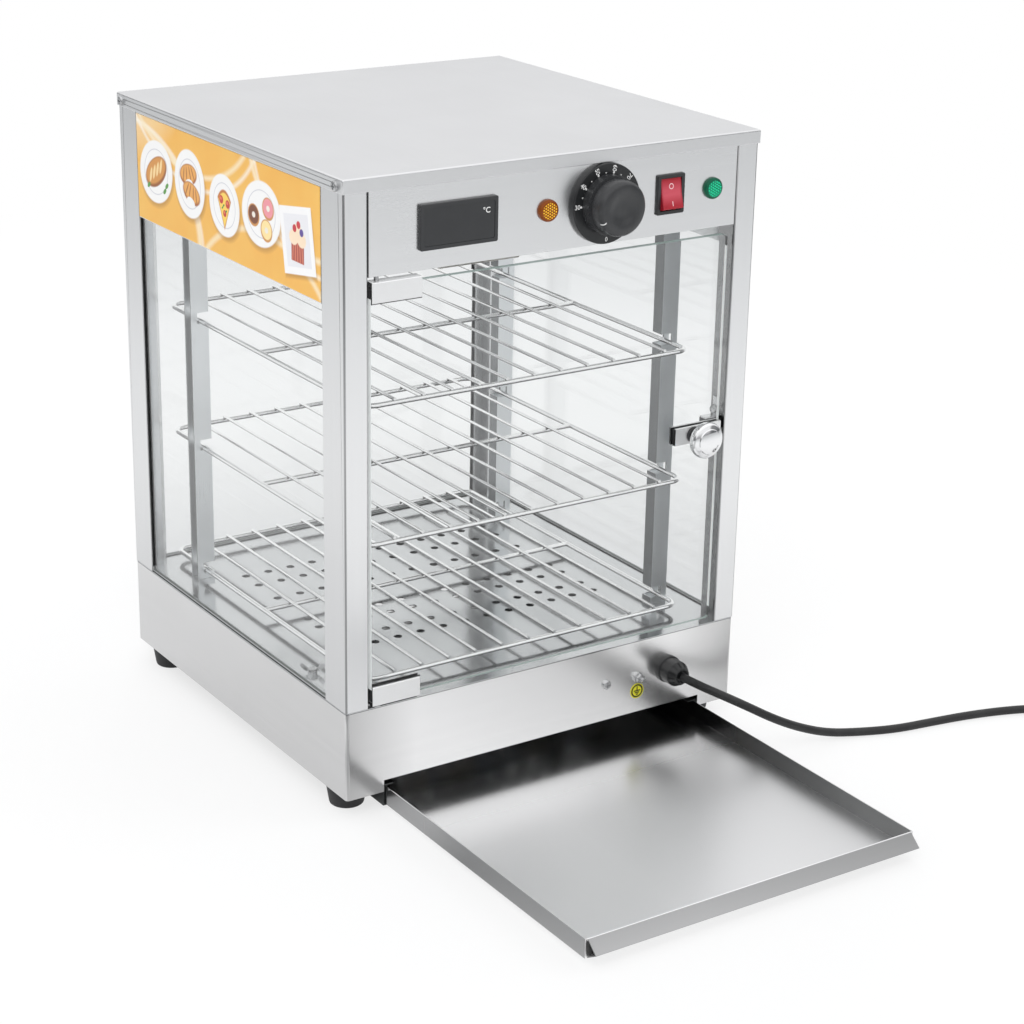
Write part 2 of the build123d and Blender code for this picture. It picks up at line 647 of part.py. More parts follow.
def drip_tray():
    """The crumb tray, pulled out, with a hollow folded lip along its front."""
    front, rear = TRAY_OUT_FRONT, TRAY_OUT_REAR
    half = TRAY_HALF_WIDTH
    tray = block((-half, half), (front, rear), (TRAY_BOTTOM, TRAY_TOP))
    tray -= block((-half + SHEET, half - SHEET), (front + SHEET, rear - SHEET),
                  (TRAY_BOTTOM + SHEET, TRAY_TOP))
    nose = (front - TRAY_LIP_REACH, TRAY_TOP - TRAY_LIP_DROP)
    outer = Polyline((front, TRAY_TOP), nose, (front, TRAY_BOTTOM), close=True)
    wall = TRAY_LIP_WALL
    inner = Polyline((front, TRAY_TOP - wall), (nose[0] + wall, nose[1]),
                     (front, TRAY_BOTTOM + wall), close=True)
    section = Plane.YZ * (make_face(outer) - make_face(inner))
    return tray + extrude(section, half - TRAY_LIP_INSET, both=True)


# ---------------------------------------------------------------- posts
def front_post():
    """The front right post, one strip folded round to a pocket for the side pane."""
    half = SHEET / 2
    line = [
        (SIDE_INNER + half, -POST_EDGE - half),
        (SIDE_INNER + half, FRONT + half),
        (POST_INNER + half, FRONT + half),
        (POST_INNER + half, -POCKET_END - half),
        (POCKET_WALL + half, -POCKET_END - half),
        (POCKET_WALL + half, -POST_EDGE - half),
    ]
    post = strip(line, DECK_TOP, CASE_TOP)
    return round_upright_edges(post, [(HALF_WIDTH, FRONT), (POST_INNER, FRONT)], BEND)


def rear_post():
    """The rear right post: a corner strip with pockets for the side and rear panes."""
    half = SHEET / 2
    lip = POST_INNER - REAR_POST_LIP + half
    corner = [
        (SIDE_INNER + half, POST_EDGE + half),
        (SIDE_INNER + half, REAR - half),
        (lip, REAR - half),
    ]
    web = [
        (lip, REAR_POCKET - half),
        (POST_INNER + half, REAR_POCKET - half),
        (POST_INNER + half, POCKET_END + half),
        (POCKET_WALL + half, POCKET_END + half),
        (POCKET_WALL + half, POST_EDGE + half),
    ]
    joint = [(POST_INNER + half, REAR_POCKET - half), (POST_INNER + half, REAR - half)]
    post = strip(corner, DECK_TOP, CASE_TOP)
    post += strip(web, DECK_TOP, CASE_TOP) + strip(joint, DECK_TOP, CASE_TOP)
    return round_upright_edges(post, [(HALF_WIDTH, REAR)], BEND)


def roof_screw_spots():
    """Where the roof's four screws seat, with the way each head points."""
    z = HEIGHT - ROOF_SCREW_DROP
    face = HALF_WIDTH + ROOF_OVERHANG
    y = HALF_DEPTH - ROOF_SCREW_INSET
    return [((sx * face, sy * y, z), (sx, 0, 0)) for sx in (-1, 1) for sy in (-1, 1)]


def drilled(piece):
    """The piece with the holes of the roof's screws."""
    for tip, out in roof_screw_spots():
        piece -= screw_hole(tip, out)
    return piece


# ---------------------------------------------------------------- head
def panel_openings():
    """The cutters for everything that passes through the control panel."""
    y = (FRONT, FRONT_INNER)
    low, high = PANEL_CENTRE_Z - DISPLAY_HEIGHT / 2, PANEL_CENTRE_Z + DISPLAY_HEIGHT / 2
    inset = DISPLAY_BODY_INSET
    half = DISPLAY_WIDTH / 2 - inset
    cuts = [block((DISPLAY_X - half, DISPLAY_X + half), y, (low + inset, high - inset))]
    half = SWITCH_WIDTH / 2 - SWITCH_BODY_INSET
    tall = SWITCH_HEIGHT / 2 - SWITCH_BODY_INSET
    cuts.append(block((SWITCH_X - half, SWITCH_X + half), y,
                      (PANEL_CENTRE_Z - tall, PANEL_CENTRE_Z + tall)))
    for x in (AMBER_LAMP_X, GREEN_LAMP_X):
        cuts.append(rod((x, FRONT, PANEL_CENTRE_Z), (x, FRONT_INNER, PANEL_CENTRE_Z),
                        LAMP_STEM / 2 + SCREW_CLEARANCE))
    cuts.append(rod((DIAL_X, FRONT, PANEL_CENTRE_Z), (DIAL_X, FRONT_INNER, PANEL_CENTRE_Z),
                    SHAFT_DIAMETER / 2 + FIT_GAP))
    return cuts


def control_panel():
    """The panel over the door, with a return that the door's upper pin runs in."""
    x = (-PANEL_HALF, PANEL_HALF)
    panel = block(x, (FRONT, FRONT_INNER), (CEILING_HEIGHT, CASE_TOP))
    panel += block(x, (FRONT, FRONT + PANEL_RETURN), (CEILING_HEIGHT, CEILING_TOP))
    fold = panel.edges().filter_by(Axis.X).sort_by(Axis.Y)[:2].sort_by(Axis.Z)[0]
    panel = fillet(fold, PANEL_FOLD)
    panel -= panel_openings()
    pin = (PIVOT_X, DOOR_MIDDLE)
    return panel - rod((*pin, CEILING_HEIGHT), (*pin, CEILING_TOP), PIN_DIAMETER / 2 + PIN_GAP)


def ceiling_plate():
    """The compartment's ceiling, between the posts, on top of the uprights."""
    z = (CEILING_HEIGHT, CEILING_TOP)
    wide = POCKET_WALL - FIT_GAP
    near = POCKET_END - FIT_GAP
    front = FRONT + PANEL_RETURN + FIT_GAP
    plate = block((-wide, wide), (-near, near), z)
    plate += block((-PANEL_HALF, PANEL_HALF), (front, near), z)
    rear_half = REAR_HEADER_HALF
    plate += block((-rear_half, rear_half), (0, REAR_INNER - FIT_GAP), z)
    plate -= rod((DIAL_X, BULB_Y, CEILING_HEIGHT), (DIAL_X, BULB_Y, CEILING_TOP),
                 CAPILLARY / 2 + FIT_GAP)
    return plate


def side_header():
    """The right-hand sheet between the posts, over the side pane."""
    y = POST_EDGE - FIT_GAP
    return block((SIDE_INNER, HALF_WIDTH), (-y, y), (HEADER_BOTTOM, CASE_TOP))


def rear_header():
    """The rear sheet over the rear pane."""
    half = REAR_HEADER_HALF
    return block((-half, half), (REAR_INNER, REAR), (HEADER_BOTTOM, CASE_TOP))


def header_print():
    """The printed film on the right-hand header."""
    y = POST_EDGE - FIT_GAP - PRINT_MARGIN
    low = HEADER_BOTTOM + PRINT_MARGIN
    return block((HALF_WIDTH, HALF_WIDTH + PRINT_THICKNESS), (-y, y), (low, PRINT_TOP))


def roof_cover():
    """The lid over the control head, with a flange all round."""
    x, y = HALF_WIDTH + ROOF_OVERHANG, HALF_DEPTH + ROOF_OVERHANG
    low = HEIGHT - ROOF_FLANGE
    cover = block((-x, x), (-y, y), (low, HEIGHT))
    cover = fillet(cover.edges().filter_by(Axis.Z), ROOF_CORNER)
    cover = fillet(cover.faces().sort_by(Axis.Z)[-1].edges(), BEND)
    inner_x, inner_y = x - SHEET, y - SHEET
    cover -= block((-inner_x, inner_x), (-inner_y, inner_y), (low, CASE_TOP))
    return drilled(cover)


def case_screws():
    """The four roof screws and the one through the base's front."""
    screws = [pan_screw(tip, out) for tip, out in roof_screw_spots()]
    length = SHEET + BLOCK_HOLE_DEPTH - SCREW_HEAD_HEIGHT
    screws.append(pan_screw((BASE_SCREW_X, FRONT, BASE_SCREW_Z), (0, -1, 0), length))
    return group(*screws)


# ---------------------------------------------------------------- panes
def side_pane():
    """The right-hand pane."""
    x = (SIDE_PANE_OUTER - PANE, SIDE_PANE_OUTER)
    return block(x, (SIDE_PANE_FRONT, SIDE_PANE_REAR), (PANE_BOTTOM, PANE_TOP))


def rear_pane():
    """The rear pane."""
    y = (REAR_PANE_OUTER - PANE, REAR_PANE_OUTER)
    return block((-REAR_PANE_HALF, REAR_PANE_HALF), y, (PANE_BOTTOM, PANE_TOP))


def gasket(near, far, across):
    """A rubber channel round a pane's upright edges and top, with a flat foot strip.

    near and far are the pane's ends along X, across its thickness range along Y.
    """
    wall = GASKET_WALL
    skin = (across[0] - wall, across[1] + wall)
    body = block((near - wall, far + wall), skin, (DECK_TOP, PANE_TOP + wall))
    body -= block((near, far), across, (PANE_BOTTOM, PANE_TOP))
    sight = (near - wall + GASKET_WIDTH, far + wall - GASKET_WIDTH)
    sight_top = PANE_TOP + wall - GASKET_WIDTH
    return body - block(sight, skin, (PANE_BOTTOM, sight_top))


def glass_gaskets():
    """The gaskets of the two side panes and the rear pane."""
    pane = (SIDE_PANE_OUTER - PANE, SIDE_PANE_OUTER)
    side = gasket(SIDE_PANE_FRONT, SIDE_PANE_REAR, (-pane[1], -pane[0]))
    side = Rot(0, 0, 90) * side
    rear = gasket(-REAR_PANE_HALF, REAR_PANE_HALF, (REAR_PANE_OUTER - PANE, REAR_PANE_OUTER))
    return group(side, mirrored(side), rear)


# ---------------------------------------------------------------- shelves
def upright(y):
    """A right-hand upright: a channel open to the side, notched at each shelf."""
    x = (UPRIGHT_X, UPRIGHT_X + UPRIGHT_DEPTH)
    span = (y - UPRIGHT_WIDTH / 2, y + UPRIGHT_WIDTH / 2)
    body = block(x, span, (DECK_TOP, CEILING_HEIGHT))
    body -= block((x[0] + UPRIGHT_SHEET, x[1]),
                  (span[0] + UPRIGHT_SHEET, span[1] - UPRIGHT_SHEET), (DECK_TOP, CEILING_HEIGHT))
    for level in SHELF_LEVELS:
        floor = level - SHELF_ROD / 2 - NOTCH_GAP
        body -= block((x[0], x[0] + NOTCH_REACH), span, (floor, floor + NOTCH_HEIGHT))
    return body


def uprights_right():
    """The two right-hand uprights."""
    return group(upright(-UPRIGHT_Y), upright(UPRIGHT_Y))


def wire_shelf(level):
    """A shelf welded from a bent rim rod, a cross rod and straight wires."""
    length = SHELF_REAR - SHELF_FRONT
    middle = (SHELF_REAR + SHELF_FRONT) / 2
    rim_path = RectangleRounded(2 * SHELF_HALF_WIDTH, length, SHELF_CORNER).wire()
    start = Plane(origin=rim_path @ 0, z_dir=rim_path % 0)
    shelf = sweep(start * Circle(SHELF_ROD / 2), path=rim_path, transition=Transition.ROUND)
    shelf = Pos(0, middle, level) * shelf
    shelf += rod((-SHELF_HALF_WIDTH, middle, level), (SHELF_HALF_WIDTH, middle, level),
                 SHELF_ROD / 2)
    z = level + SHELF_ROD / 2 + SHELF_WIRE / 2 - SHELF_WELD
    first = -SHELF_PITCH * (SHELF_WIRES - 1) / 2
    overrun = SHELF_ROD / 4
    for i in range(SHELF_WIRES):
        x = first + SHELF_PITCH * i
        shelf += rod((x, SHELF_FRONT - overrun, z), (x, SHELF_REAR + overrun, z), SHELF_WIRE / 2)
    return shelf


# ---------------------------------------------------------------- door
def door_glass():
    """The door's pane, with rounded corners on its free side."""
    x, z = (DOOR_LEFT, DOOR_RIGHT), (DOOR_BOTTOM, DOOR_TOP)
    pane = block(x, (DOOR_FRONT, DOOR_REAR), z)
    free = pane.edges().filter_by(Axis.Y).sort_by(Axis.X)[-2:]
    return fillet(free, DOOR_CORNER)


def clamp_screw_spots(seat):
    """Where a clamp's two grub screws stand on its rear plate."""
    middle = CLAMP_LEFT + CLAMP_LENGTH / 2
    z = (seat[0] + seat[1]) / 2
    return [(middle + s * CLAMP_SCREW_SPACING / 2, z) for s in (-1, 1)]


def clamp_plates(top):
    """The height range of a clamp's plates, and its cap's: the lower clamp's or the upper's."""
    if top:
        return (DOOR_TOP - CLAMP_HEIGHT, CLAMP_HIGH), (DOOR_TOP, CLAMP_HIGH)
    return (CLAMP_LOW, DOOR_BOTTOM + CLAMP_HEIGHT), (CLAMP_LOW, DOOR_BOTTOM)


def clamp_grip(top):
    """The height range over which a clamp's plates grip the pane."""
    plates, cap = clamp_plates(top)
    return (plates[0], cap[0]) if top else (cap[1], plates[1])


def door_clamp(top):
    """A pivot clamp: two plates and a cap round the pane's corner."""
    plates, cap = clamp_plates(top)
    x = (CLAMP_LEFT, CLAMP_LEFT + CLAMP_LENGTH)
    skin = (DOOR_MIDDLE - CLAMP_HALF, DOOR_MIDDLE + CLAMP_HALF)
    inside = (DOOR_FRONT - LINER, DOOR_REAR + LINER)
    grip = clamp_grip(top)
    body = block(x, skin, plates) - block(x, inside, grip)
    body = chamfer(body.faces().sort_by(Axis.Y)[0].edges(), CLAMP_CHAMFER)
    low, high = pin_span(top)
    pin = (PIVOT_X, DOOR_MIDDLE)
    body -= rod((*pin, low), (*pin, high), PIN_DIAMETER / 2 + PIN_GAP)
    for screw_x, z in clamp_screw_spots(grip):
        body -= rod((screw_x, inside[1], z), (screw_x, skin[1], z),
                    CLAMP_SCREW_DIAMETER / 2 + SCREW_CLEARANCE)
    return body


def pin_span(top):
    """The height range of a pivot pin."""
    if top:
        return CLAMP_HIGH - PIN_GRIP, CEILING_TOP + PIN_REACH
    return DECK_UNDER - PIN_REACH, CLAMP_LOW + PIN_GRIP


def hinge_pins():
    """The two pins on which the door turns."""
    spans = [pin_span(False), pin_span(True)]
    pin = (PIVOT_X, DOOR_MIDDLE)
    return group(*[rod((*pin, low), (*pin, high), PIN_DIAMETER / 2) for low, high in spans])


def hinge_washer():
    """The washer on the deck that carries the door."""
    section = Circle(WASHER_DIAMETER / 2) - Circle(PIN_DIAMETER / 2 + PIN_GAP)
    return Pos(PIVOT_X, DOOR_MIDDLE, DECK_TOP) * extrude(section, CLAMP_DECK_GAP - WASHER_GAP)


def liner(x, z):
    """Two soft pads between the pane and the plates that grip it."""
    front = block(x, (DOOR_FRONT - LINER, DOOR_FRONT), z)
    rear = block(x, (DOOR_REAR, DOOR_REAR + LINER), z)
    return group(front, rear)


def door_liners():
    """The pads in the two clamps and in the knob's clip."""
    right = CLAMP_LEFT + CLAMP_LENGTH + LINER_MARGIN
    low, high = clamp_grip(False), clamp_grip(True)
    return group(
        liner((DOOR_LEFT, right), (low[0], low[1] + LINER_MARGIN)),
        liner((DOOR_LEFT, right), (high[0] - LINER_MARGIN, high[1])),
        liner((CLIP_LEFT - LINER_MARGIN, DOOR_RIGHT), (CLIP_LOW, CLIP_HIGH)),
    )


def clamp_screws():
    """The grub screws in the clamps' rear plates."""
    end = DOOR_MIDDLE + CLAMP_HALF + CLAMP_SCREW_PROUD
    spots = clamp_screw_spots(clamp_grip(False)) + clamp_screw_spots(clamp_grip(True))
    radius = CLAMP_SCREW_DIAMETER / 2
    return group(*[rod((x, DOOR_REAR + LINER, z), (x, end, z), radius) for x, z in spots])


def knob_clip():
    """The clip round the pane's free edge that carries the knob."""
    x, z = (CLIP_LEFT, CLIP_RIGHT), (CLIP_LOW, CLIP_HIGH)
    clip = block(x, (CLIP_FRONT, CLIP_REAR), z)
    clip -= block((CLIP_LEFT, DOOR_RIGHT), (DOOR_FRONT - LINER, DOOR_REAR + LINER), z)
    tall = clip.edges().filter_by(Axis.Z)
    outer = [e for e in tall if e.center().X > DOOR_RIGHT + CLIP_WRAP / 2]
    return fillet(outer, CLIP_ROUNDING)


def door_knob():
    """The chromed knob, turned about its own axis."""
    neck, rim, dome = KNOB_NECK / 2, KNOB_RIM / 2, KNOB_DOME / 2
    rim_start, rim_end = KNOB_NECK_LENGTH, KNOB_NECK_LENGTH + KNOB_RIM_THICKNESS
    profile = [
        (0, 0), (KNOB_FLANGE / 2, 0), (KNOB_FLANGE / 2, KNOB_FLANGE_THICKNESS),
        (neck, KNOB_FLANGE_THICKNESS + KNOB_FLANGE_TAPER), (neck, rim_start - KNOB_FLARE_LENGTH),
        (KNOB_FLARE / 2, rim_start), (rim, rim_start), (rim, rim_end), (dome, rim_end),
        (dome, KNOB_LENGTH - KNOB_CROWN), (0, KNOB_LENGTH),
    ]
    knob = turned(profile, (KNOB_X, CLIP_FRONT, KNOB_Z), (0, -1, 0))
    circles = knob.edges().filter_by(GeomType.CIRCLE)
    crown = circles.sort_by(Axis.Y)[0]
    return fillet(crown, KNOB_CROWN_ROUNDING)


def catch_bracket():
    """The catch's bracket on the right post, with its foot over the magnet."""
    low = CLIP_HIGH + CATCH_ABOVE_CLIP - CATCH_SHEET
    y = (CATCH_FRONT, CATCH_FRONT + CATCH_WIDTH)
    wall = (POST_INNER - CATCH_SHEET, POST_INNER)
    bracket = block(wall, y, (low, low + CATCH_LEG))
    return bracket + block((POST_INNER - CATCH_FOOT, POST_INNER), y, (low, low + CATCH_SHEET))


def catch_magnet():
    """The magnet that holds the clip."""
    high = CLIP_HIGH + CATCH_ABOVE_CLIP - CATCH_SHEET
    left = POST_INNER - CATCH_FOOT
    y = (CATCH_FRONT, CATCH_FRONT + CATCH_WIDTH)
    return block((left, left + MAGNET_LENGTH), y, (high - MAGNET_HEIGHT, high))


# ---------------------------------------------------------------- panel fittings
def display_frame_box(inset, front, rear):
    """A rounded box behind or before the panel, the display's outline less an inset."""
    outline = RectangleRounded(DISPLAY_WIDTH - 2 * inset, DISPLAY_HEIGHT - 2 * inset,
                               DISPLAY_CORNER)
    plane = Plane(origin=(DISPLAY_X, rear, PANEL_CENTRE_Z), x_dir=(1, 0, 0), z_dir=(0, -1, 0))
    return plane * extrude(outline, rear - front)


def display_bezel():
    """The display's housing, with a shallow seat for its window."""
    front = FRONT - DISPLAY_PROUD
    seat = front + DISPLAY_RECESS + DISPLAY_WINDOW
    bezel = display_frame_box(0, front, FRONT)
    bezel = chamfer(bezel.faces().sort_by(Axis.Y)[0].edges(), DISPLAY_CHAMFER)
    inset = DISPLAY_BODY_INSET + FIT_GAP
    bezel += display_frame_box(inset, FRONT, FRONT_INNER + DISPLAY_BODY_DEPTH)
    return bezel - display_frame_box(DISPLAY_FRAME, front, seat)


def display_window():
    """The display's dark window."""
    front = FRONT - DISPLAY_PROUD + DISPLAY_RECESS
    return display_frame_box(DISPLAY_FRAME + FIT_GAP / 2, front, front + DISPLAY_WINDOW)


def panel_lamp(x):
    """A pilot lamp: a domed lens on a threaded stem."""
    lens = rod((x, FRONT, PANEL_CENTRE_Z), (x, FRONT - LAMP_PROUD, PANEL_CENTRE_Z),
               LAMP_DIAMETER / 2)
    lens = fillet(lens.edges().sort_by(Axis.Y)[0], LAMP_ROUNDING)
    tail = FRONT_INNER + LAMP_STEM_LENGTH
    return lens + rod((x, FRONT, PANEL_CENTRE_Z), (x, tail, PANEL_CENTRE_Z), LAMP_STEM / 2)


def dial_scale():
    """The fixed ring that carries the temperature scale."""
    disc = rod((DIAL_X, FRONT, PANEL_CENTRE_Z), (DIAL_X, DIAL_FRONT, PANEL_CENTRE_Z),
               DIAL_DIAMETER / 2)
    disc = fillet(disc.edges().sort_by(Axis.Y)[0], DIAL_EDGE)
    return disc - rod((DIAL_X, FRONT, PANEL_CENTRE_Z), (DIAL_X, DIAL_FRONT, PANEL_CENTRE_Z),
                      SHAFT_DIAMETER / 2 + FIT_GAP)


def thermostat_knob():
    """The turning knob: a stepped body with a crescent step for its pointer."""
    base, face = KNOB_BASE_DIAMETER / 2, KNOB_FRONT_DIAMETER / 2
    start = (DIAL_X, TURN_KNOB_BACK, PANEL_CENTRE_Z)
    profile = [(0, 0), (base, 0), (base, KNOB_SKIRT), (face, KNOB_SKIRT),
               (face, KNOB_HEIGHT), (0, KNOB_HEIGHT)]
    knob = turned(profile, start, (0, -1, 0))
    rims = knob.edges().filter_by(GeomType.CIRCLE).sort_by(Axis.Y)[0]
    knob = fillet(rims, KNOB_ROUNDING)
    front = TURN_KNOB_BACK - KNOB_HEIGHT
    knob -= rod((DIAL_X, front, PANEL_CENTRE_Z), (DIAL_X, front + POINTER_STEP, PANEL_CENTRE_Z),
                POINTER_DIAMETER / 2)
    bore = TURN_KNOB_BACK - SHAFT_BORE_DEPTH
    return knob - rod((DIAL_X, TURN_KNOB_BACK, PANEL_CENTRE_Z), (DIAL_X, bore, PANEL_CENTRE_Z),
                      SHAFT_DIAMETER / 2 + SHAFT_GAP)


def thermostat_shaft():
    """The shaft between the knob and the switch body."""
    start = (DIAL_X, TURN_KNOB_BACK - SHAFT_BORE_DEPTH, PANEL_CENTRE_Z)
    end = (DIAL_X, FRONT_INNER + SHAFT_TAIL, PANEL_CENTRE_Z)
    return rod(start, end, SHAFT_DIAMETER / 2)


def thermostat_body():
    """The thermostat's switch body behind the panel, bored for its shaft."""
    half = THERMOSTAT_WIDTH / 2
    y = (FRONT_INNER, FRONT_INNER + THERMOSTAT_DEPTH)
    body = block((DIAL_X - half, DIAL_X + half), y, (PANEL_CENTRE_Z - half, PANEL_CENTRE_Z + half))
    bore = FRONT_INNER + SHAFT_TAIL
    return body - rod((DIAL_X, FRONT_INNER, PANEL_CENTRE_Z), (DIAL_X, bore, PANEL_CENTRE_Z),
                      SHAFT_DIAMETER / 2 + SHAFT_GAP)


def thermostat_bulb():
    """The sensing bulb under the ceiling, with its capillary and its clip."""
    z = CEILING_HEIGHT - BULB_CLIP - BULB_DIAMETER / 2
    top = PANEL_CENTRE_Z - THERMOSTAT_WIDTH / 2
    route = FilletPolyline((DIAL_X, BULB_Y + CAPILLARY_OFFSET, top),
                           (DIAL_X, BULB_Y, CEILING_HEIGHT), (DIAL_X, BULB_Y, z),
                           (BULB_X, BULB_Y, z), radius=[CAPILLARY_BEND, BULB_CLIP])
    start = Plane(origin=route @ 0, z_dir=route % 0)
    bulb = sweep(start * Circle(CAPILLARY / 2), path=route)
    bulb += rod((BULB_X, BULB_Y, z), (BULB_X - BULB_LENGTH, BULB_Y, z), BULB_DIAMETER / 2)
    middle = BULB_X - BULB_LENGTH / 2
    half = BULB_CLIP / 2
    return bulb + block((middle - half, middle + half), (BULB_Y - SHEET, BULB_Y + SHEET),
                        (z, CEILING_HEIGHT))


def rocker_housing():
    """The switch's housing, with a well for the rocker and holes for its axle."""
    face = Plane(origin=(SWITCH_X, FRONT, PANEL_CENTRE_Z), x_dir=(1, 0, 0), z_dir=(0, -1, 0))
    bezel = extrude(RectangleRounded(SWITCH_WIDTH, SWITCH_HEIGHT, SWITCH_CORNER), SWITCH_PROUD)
    bezel = face * chamfer(bezel.faces().sort_by(Axis.Z)[-1].edges(), SWITCH_CHAMFER)
    half = SWITCH_WIDTH / 2 - SWITCH_BODY_INSET - FIT_GAP
    tall = SWITCH_HEIGHT / 2 - SWITCH_BODY_INSET - FIT_GAP
    rear = FRONT_INNER + SWITCH_BODY_DEPTH
    z = PANEL_CENTRE_Z
    housing = bezel + block((SWITCH_X - half, SWITCH_X + half), (FRONT, rear), (z - tall, z + tall))
    wide, high = ROCKER_HALF_WIDTH + ROCKER_GAP, ROCKER_RADIUS + ROCKER_GAP
    housing -= block((SWITCH_X - wide, SWITCH_X + wide), (SWITCH_FRONT, ROCKER_PIVOT),
                     (z - high, z + high))
    well = rod((SWITCH_X - wide, ROCKER_PIVOT, z), (SWITCH_X + wide, ROCKER_PIVOT, z), high)
    hole = ROCKER_HALF_WIDTH + ROCKER_AXLE_LENGTH
    axle = rod((SWITCH_X - hole, ROCKER_PIVOT, z), (SWITCH_X + hole, ROCKER_PIVOT, z),
               ROCKER_AXLE / 2 + PIN_GAP)
    return housing - well - axle


def power_rocker():
    """The switch's rocker in its off position: upper half in, lower half out."""
    x = (-ROCKER_HALF_WIDTH, ROCKER_HALF_WIDTH)
    drum = rod((x[0], 0, 0), (x[1], 0, 0), ROCKER_RADIUS)
    reach = 2 * ROCKER_RADIUS
    rocker = drum & block(x, (-reach, ROCKER_BACK), (-reach, reach))
    for side in (-1, 1):
        shave = block((2 * x[0], 2 * x[1]), (-reach, -ROCKER_FACE), sorted((0, side * reach)))
        pivot = Pos(0, -ROCKER_FACE, 0) * Rot(side * ROCKER_DISH, 0, 0) * Pos(0, ROCKER_FACE, 0)
        rocker -= pivot * shave
    axle = ROCKER_HALF_WIDTH + ROCKER_AXLE_LENGTH
    rocker += rod((-axle, 0, 0), (axle, 0, 0), ROCKER_AXLE / 2)
    place = Pos(SWITCH_X, ROCKER_PIVOT, PANEL_CENTRE_Z)
    return place * Rot(-ROCKER_TILT, 0, 0) * rocker


# ---------------------------------------------------------------- heating
def element_rows():
    """The Y places of the element's straight runs."""
    return [ELEMENT_PITCH * (i - (ELEMENT_RUNS - 1) / 2) for i in range(ELEMENT_RUNS)]


def heating_element():
    """The tubular heater, bent to and fro under the deck, with its two terminals."""
    rows = element_rows()
    points = [(ELEMENT_TAIL, rows[0])]
    for i, (near, far) in enumerate(zip(rows, rows[1:])):
        x = ELEMENT_REACH if i % 2 else -ELEMENT_REACH
        points += [(x, near), (x, far)]
    points.append((ELEMENT_TAIL, rows[-1]))
    route = FilletPolyline(*[(x, y, ELEMENT_Z) for x, y in points], radius=ELEMENT_BEND)
    start = Plane(origin=route @ 0, z_dir=route % 0)
    tube = sweep(start * Circle(ELEMENT_DIAMETER / 2), path=route)
    for y in (rows[0], rows[-1]):
        end = ELEMENT_TAIL + TERMINAL_LENGTH
        tube += rod((ELEMENT_TAIL, y, ELEMENT_Z), (end, y, ELEMENT_Z), TERMINAL_DIAMETER / 2)
    return tube


def element_hanger():
    """The right-hand plate that hangs the element from the deck."""
    rows = element_rows()
    y = (rows[0] - HANGER_MARGIN, rows[-1] + HANGER_MARGIN)
    low = ELEMENT_Z - HANGER_MARGIN
    plate = block((HANGER_X, HANGER_X + HANGER_SHEET), y, (low, DECK_UNDER))
    plate += block((HANGER_X, HANGER_X + HANGER_FLANGE), y,
                   (DECK_UNDER - HANGER_SHEET, DECK_UNDER))
    for row in rows:
        plate -= rod((HANGER_X, row, ELEMENT_Z), (HANGER_X + HANGER_SHEET, row, ELEMENT_Z),
                     ELEMENT_DIAMETER / 2 + FIT_GAP)
    return plate


def terminal_block():
    """The terminal block behind the base's front, held by the front screw."""
    half = BLOCK_LENGTH / 2
    y = (FRONT_INNER, FRONT_INNER + BLOCK_DEPTH)
    z = (BASE_SCREW_Z - BLOCK_HEIGHT / 2, BASE_SCREW_Z + BLOCK_HEIGHT / 2)
    body = block((BASE_SCREW_X - half, BASE_SCREW_X + half), y, z)
    pitch = BLOCK_LENGTH / BLOCK_WAYS
    for i in range(BLOCK_WAYS):
        x = BASE_SCREW_X + pitch * (i - (BLOCK_WAYS - 1) / 2)
        wire_y = y[1] - BLOCK_HOLE
        body -= rod((x, wire_y, z[1] - BLOCK_HOLE_DEPTH / 2), (x, wire_y, z[1]), BLOCK_HOLE / 2)
    return body - screw_hole((BASE_SCREW_X, FRONT, BASE_SCREW_Z), (0, -1, 0))


# ---------------------------------------------------------------- cord
def cord_points():
    """The laid stretch's points, from the gland's end to the coil's lead-in."""
    route = [(GLAND_X + x, GLAND_MOUTH + y, z) for x, y, z in CORD_ROUTE]
    return [(GLAND_X, GLAND_MOUTH, GLAND_Z), *route]


def cord_radii(points):
    """The bend at each inner point, as large as its two runs allow."""
    vectors = [Vector(*b) - Vector(*a) for a, b in zip(points, points[1:])]
    radii = []
    for before, after in zip(vectors, vectors[1:]):
        run = CORD_BEND_SHARE * min(before.length, after.length)
        half_turn = math.radians(before.get_angle(after)) / 2
        radii.append(run / math.tan(half_turn))
    return radii


def power_cord():
    """The laid stretch of the cord: straight runs joined by tangent arcs."""
    points = cord_points()
    route = FilletPolyline(*points, radius=cord_radii(points))
    start = Plane(origin=route @ 0, z_dir=route % 0)
    tube = sweep(start * Circle(CORD_DIAMETER / 2), path=route)
    face = points[0][1]
    reach = CORD_DIAMETER
    behind_gland = block((GLAND_X - reach, GLAND_X + reach), (face, face + reach),
                         (GLAND_Z - reach, GLAND_Z + reach))
    return tube - behind_gland, route.length


def coil_entry():
    """The heading at which the cord joins its coil, and the point where it does."""
    points = cord_points()
    heading = (Vector(*points[-1]) - Vector(*points[-2])).normalized()
    return heading, Vector(*points[-1]) + heading * COIL_LEAD_IN


def coil_radius(laid_length):
    """The coil's middle radius, from the length of cord that isn't laid out."""
    rest = CORD_LENGTH - laid_length - COIL_LEAD_IN - COIL_LEAD_OUT
    return rest / (COIL_LANES * COIL_LAYERS * 2 * math.pi)


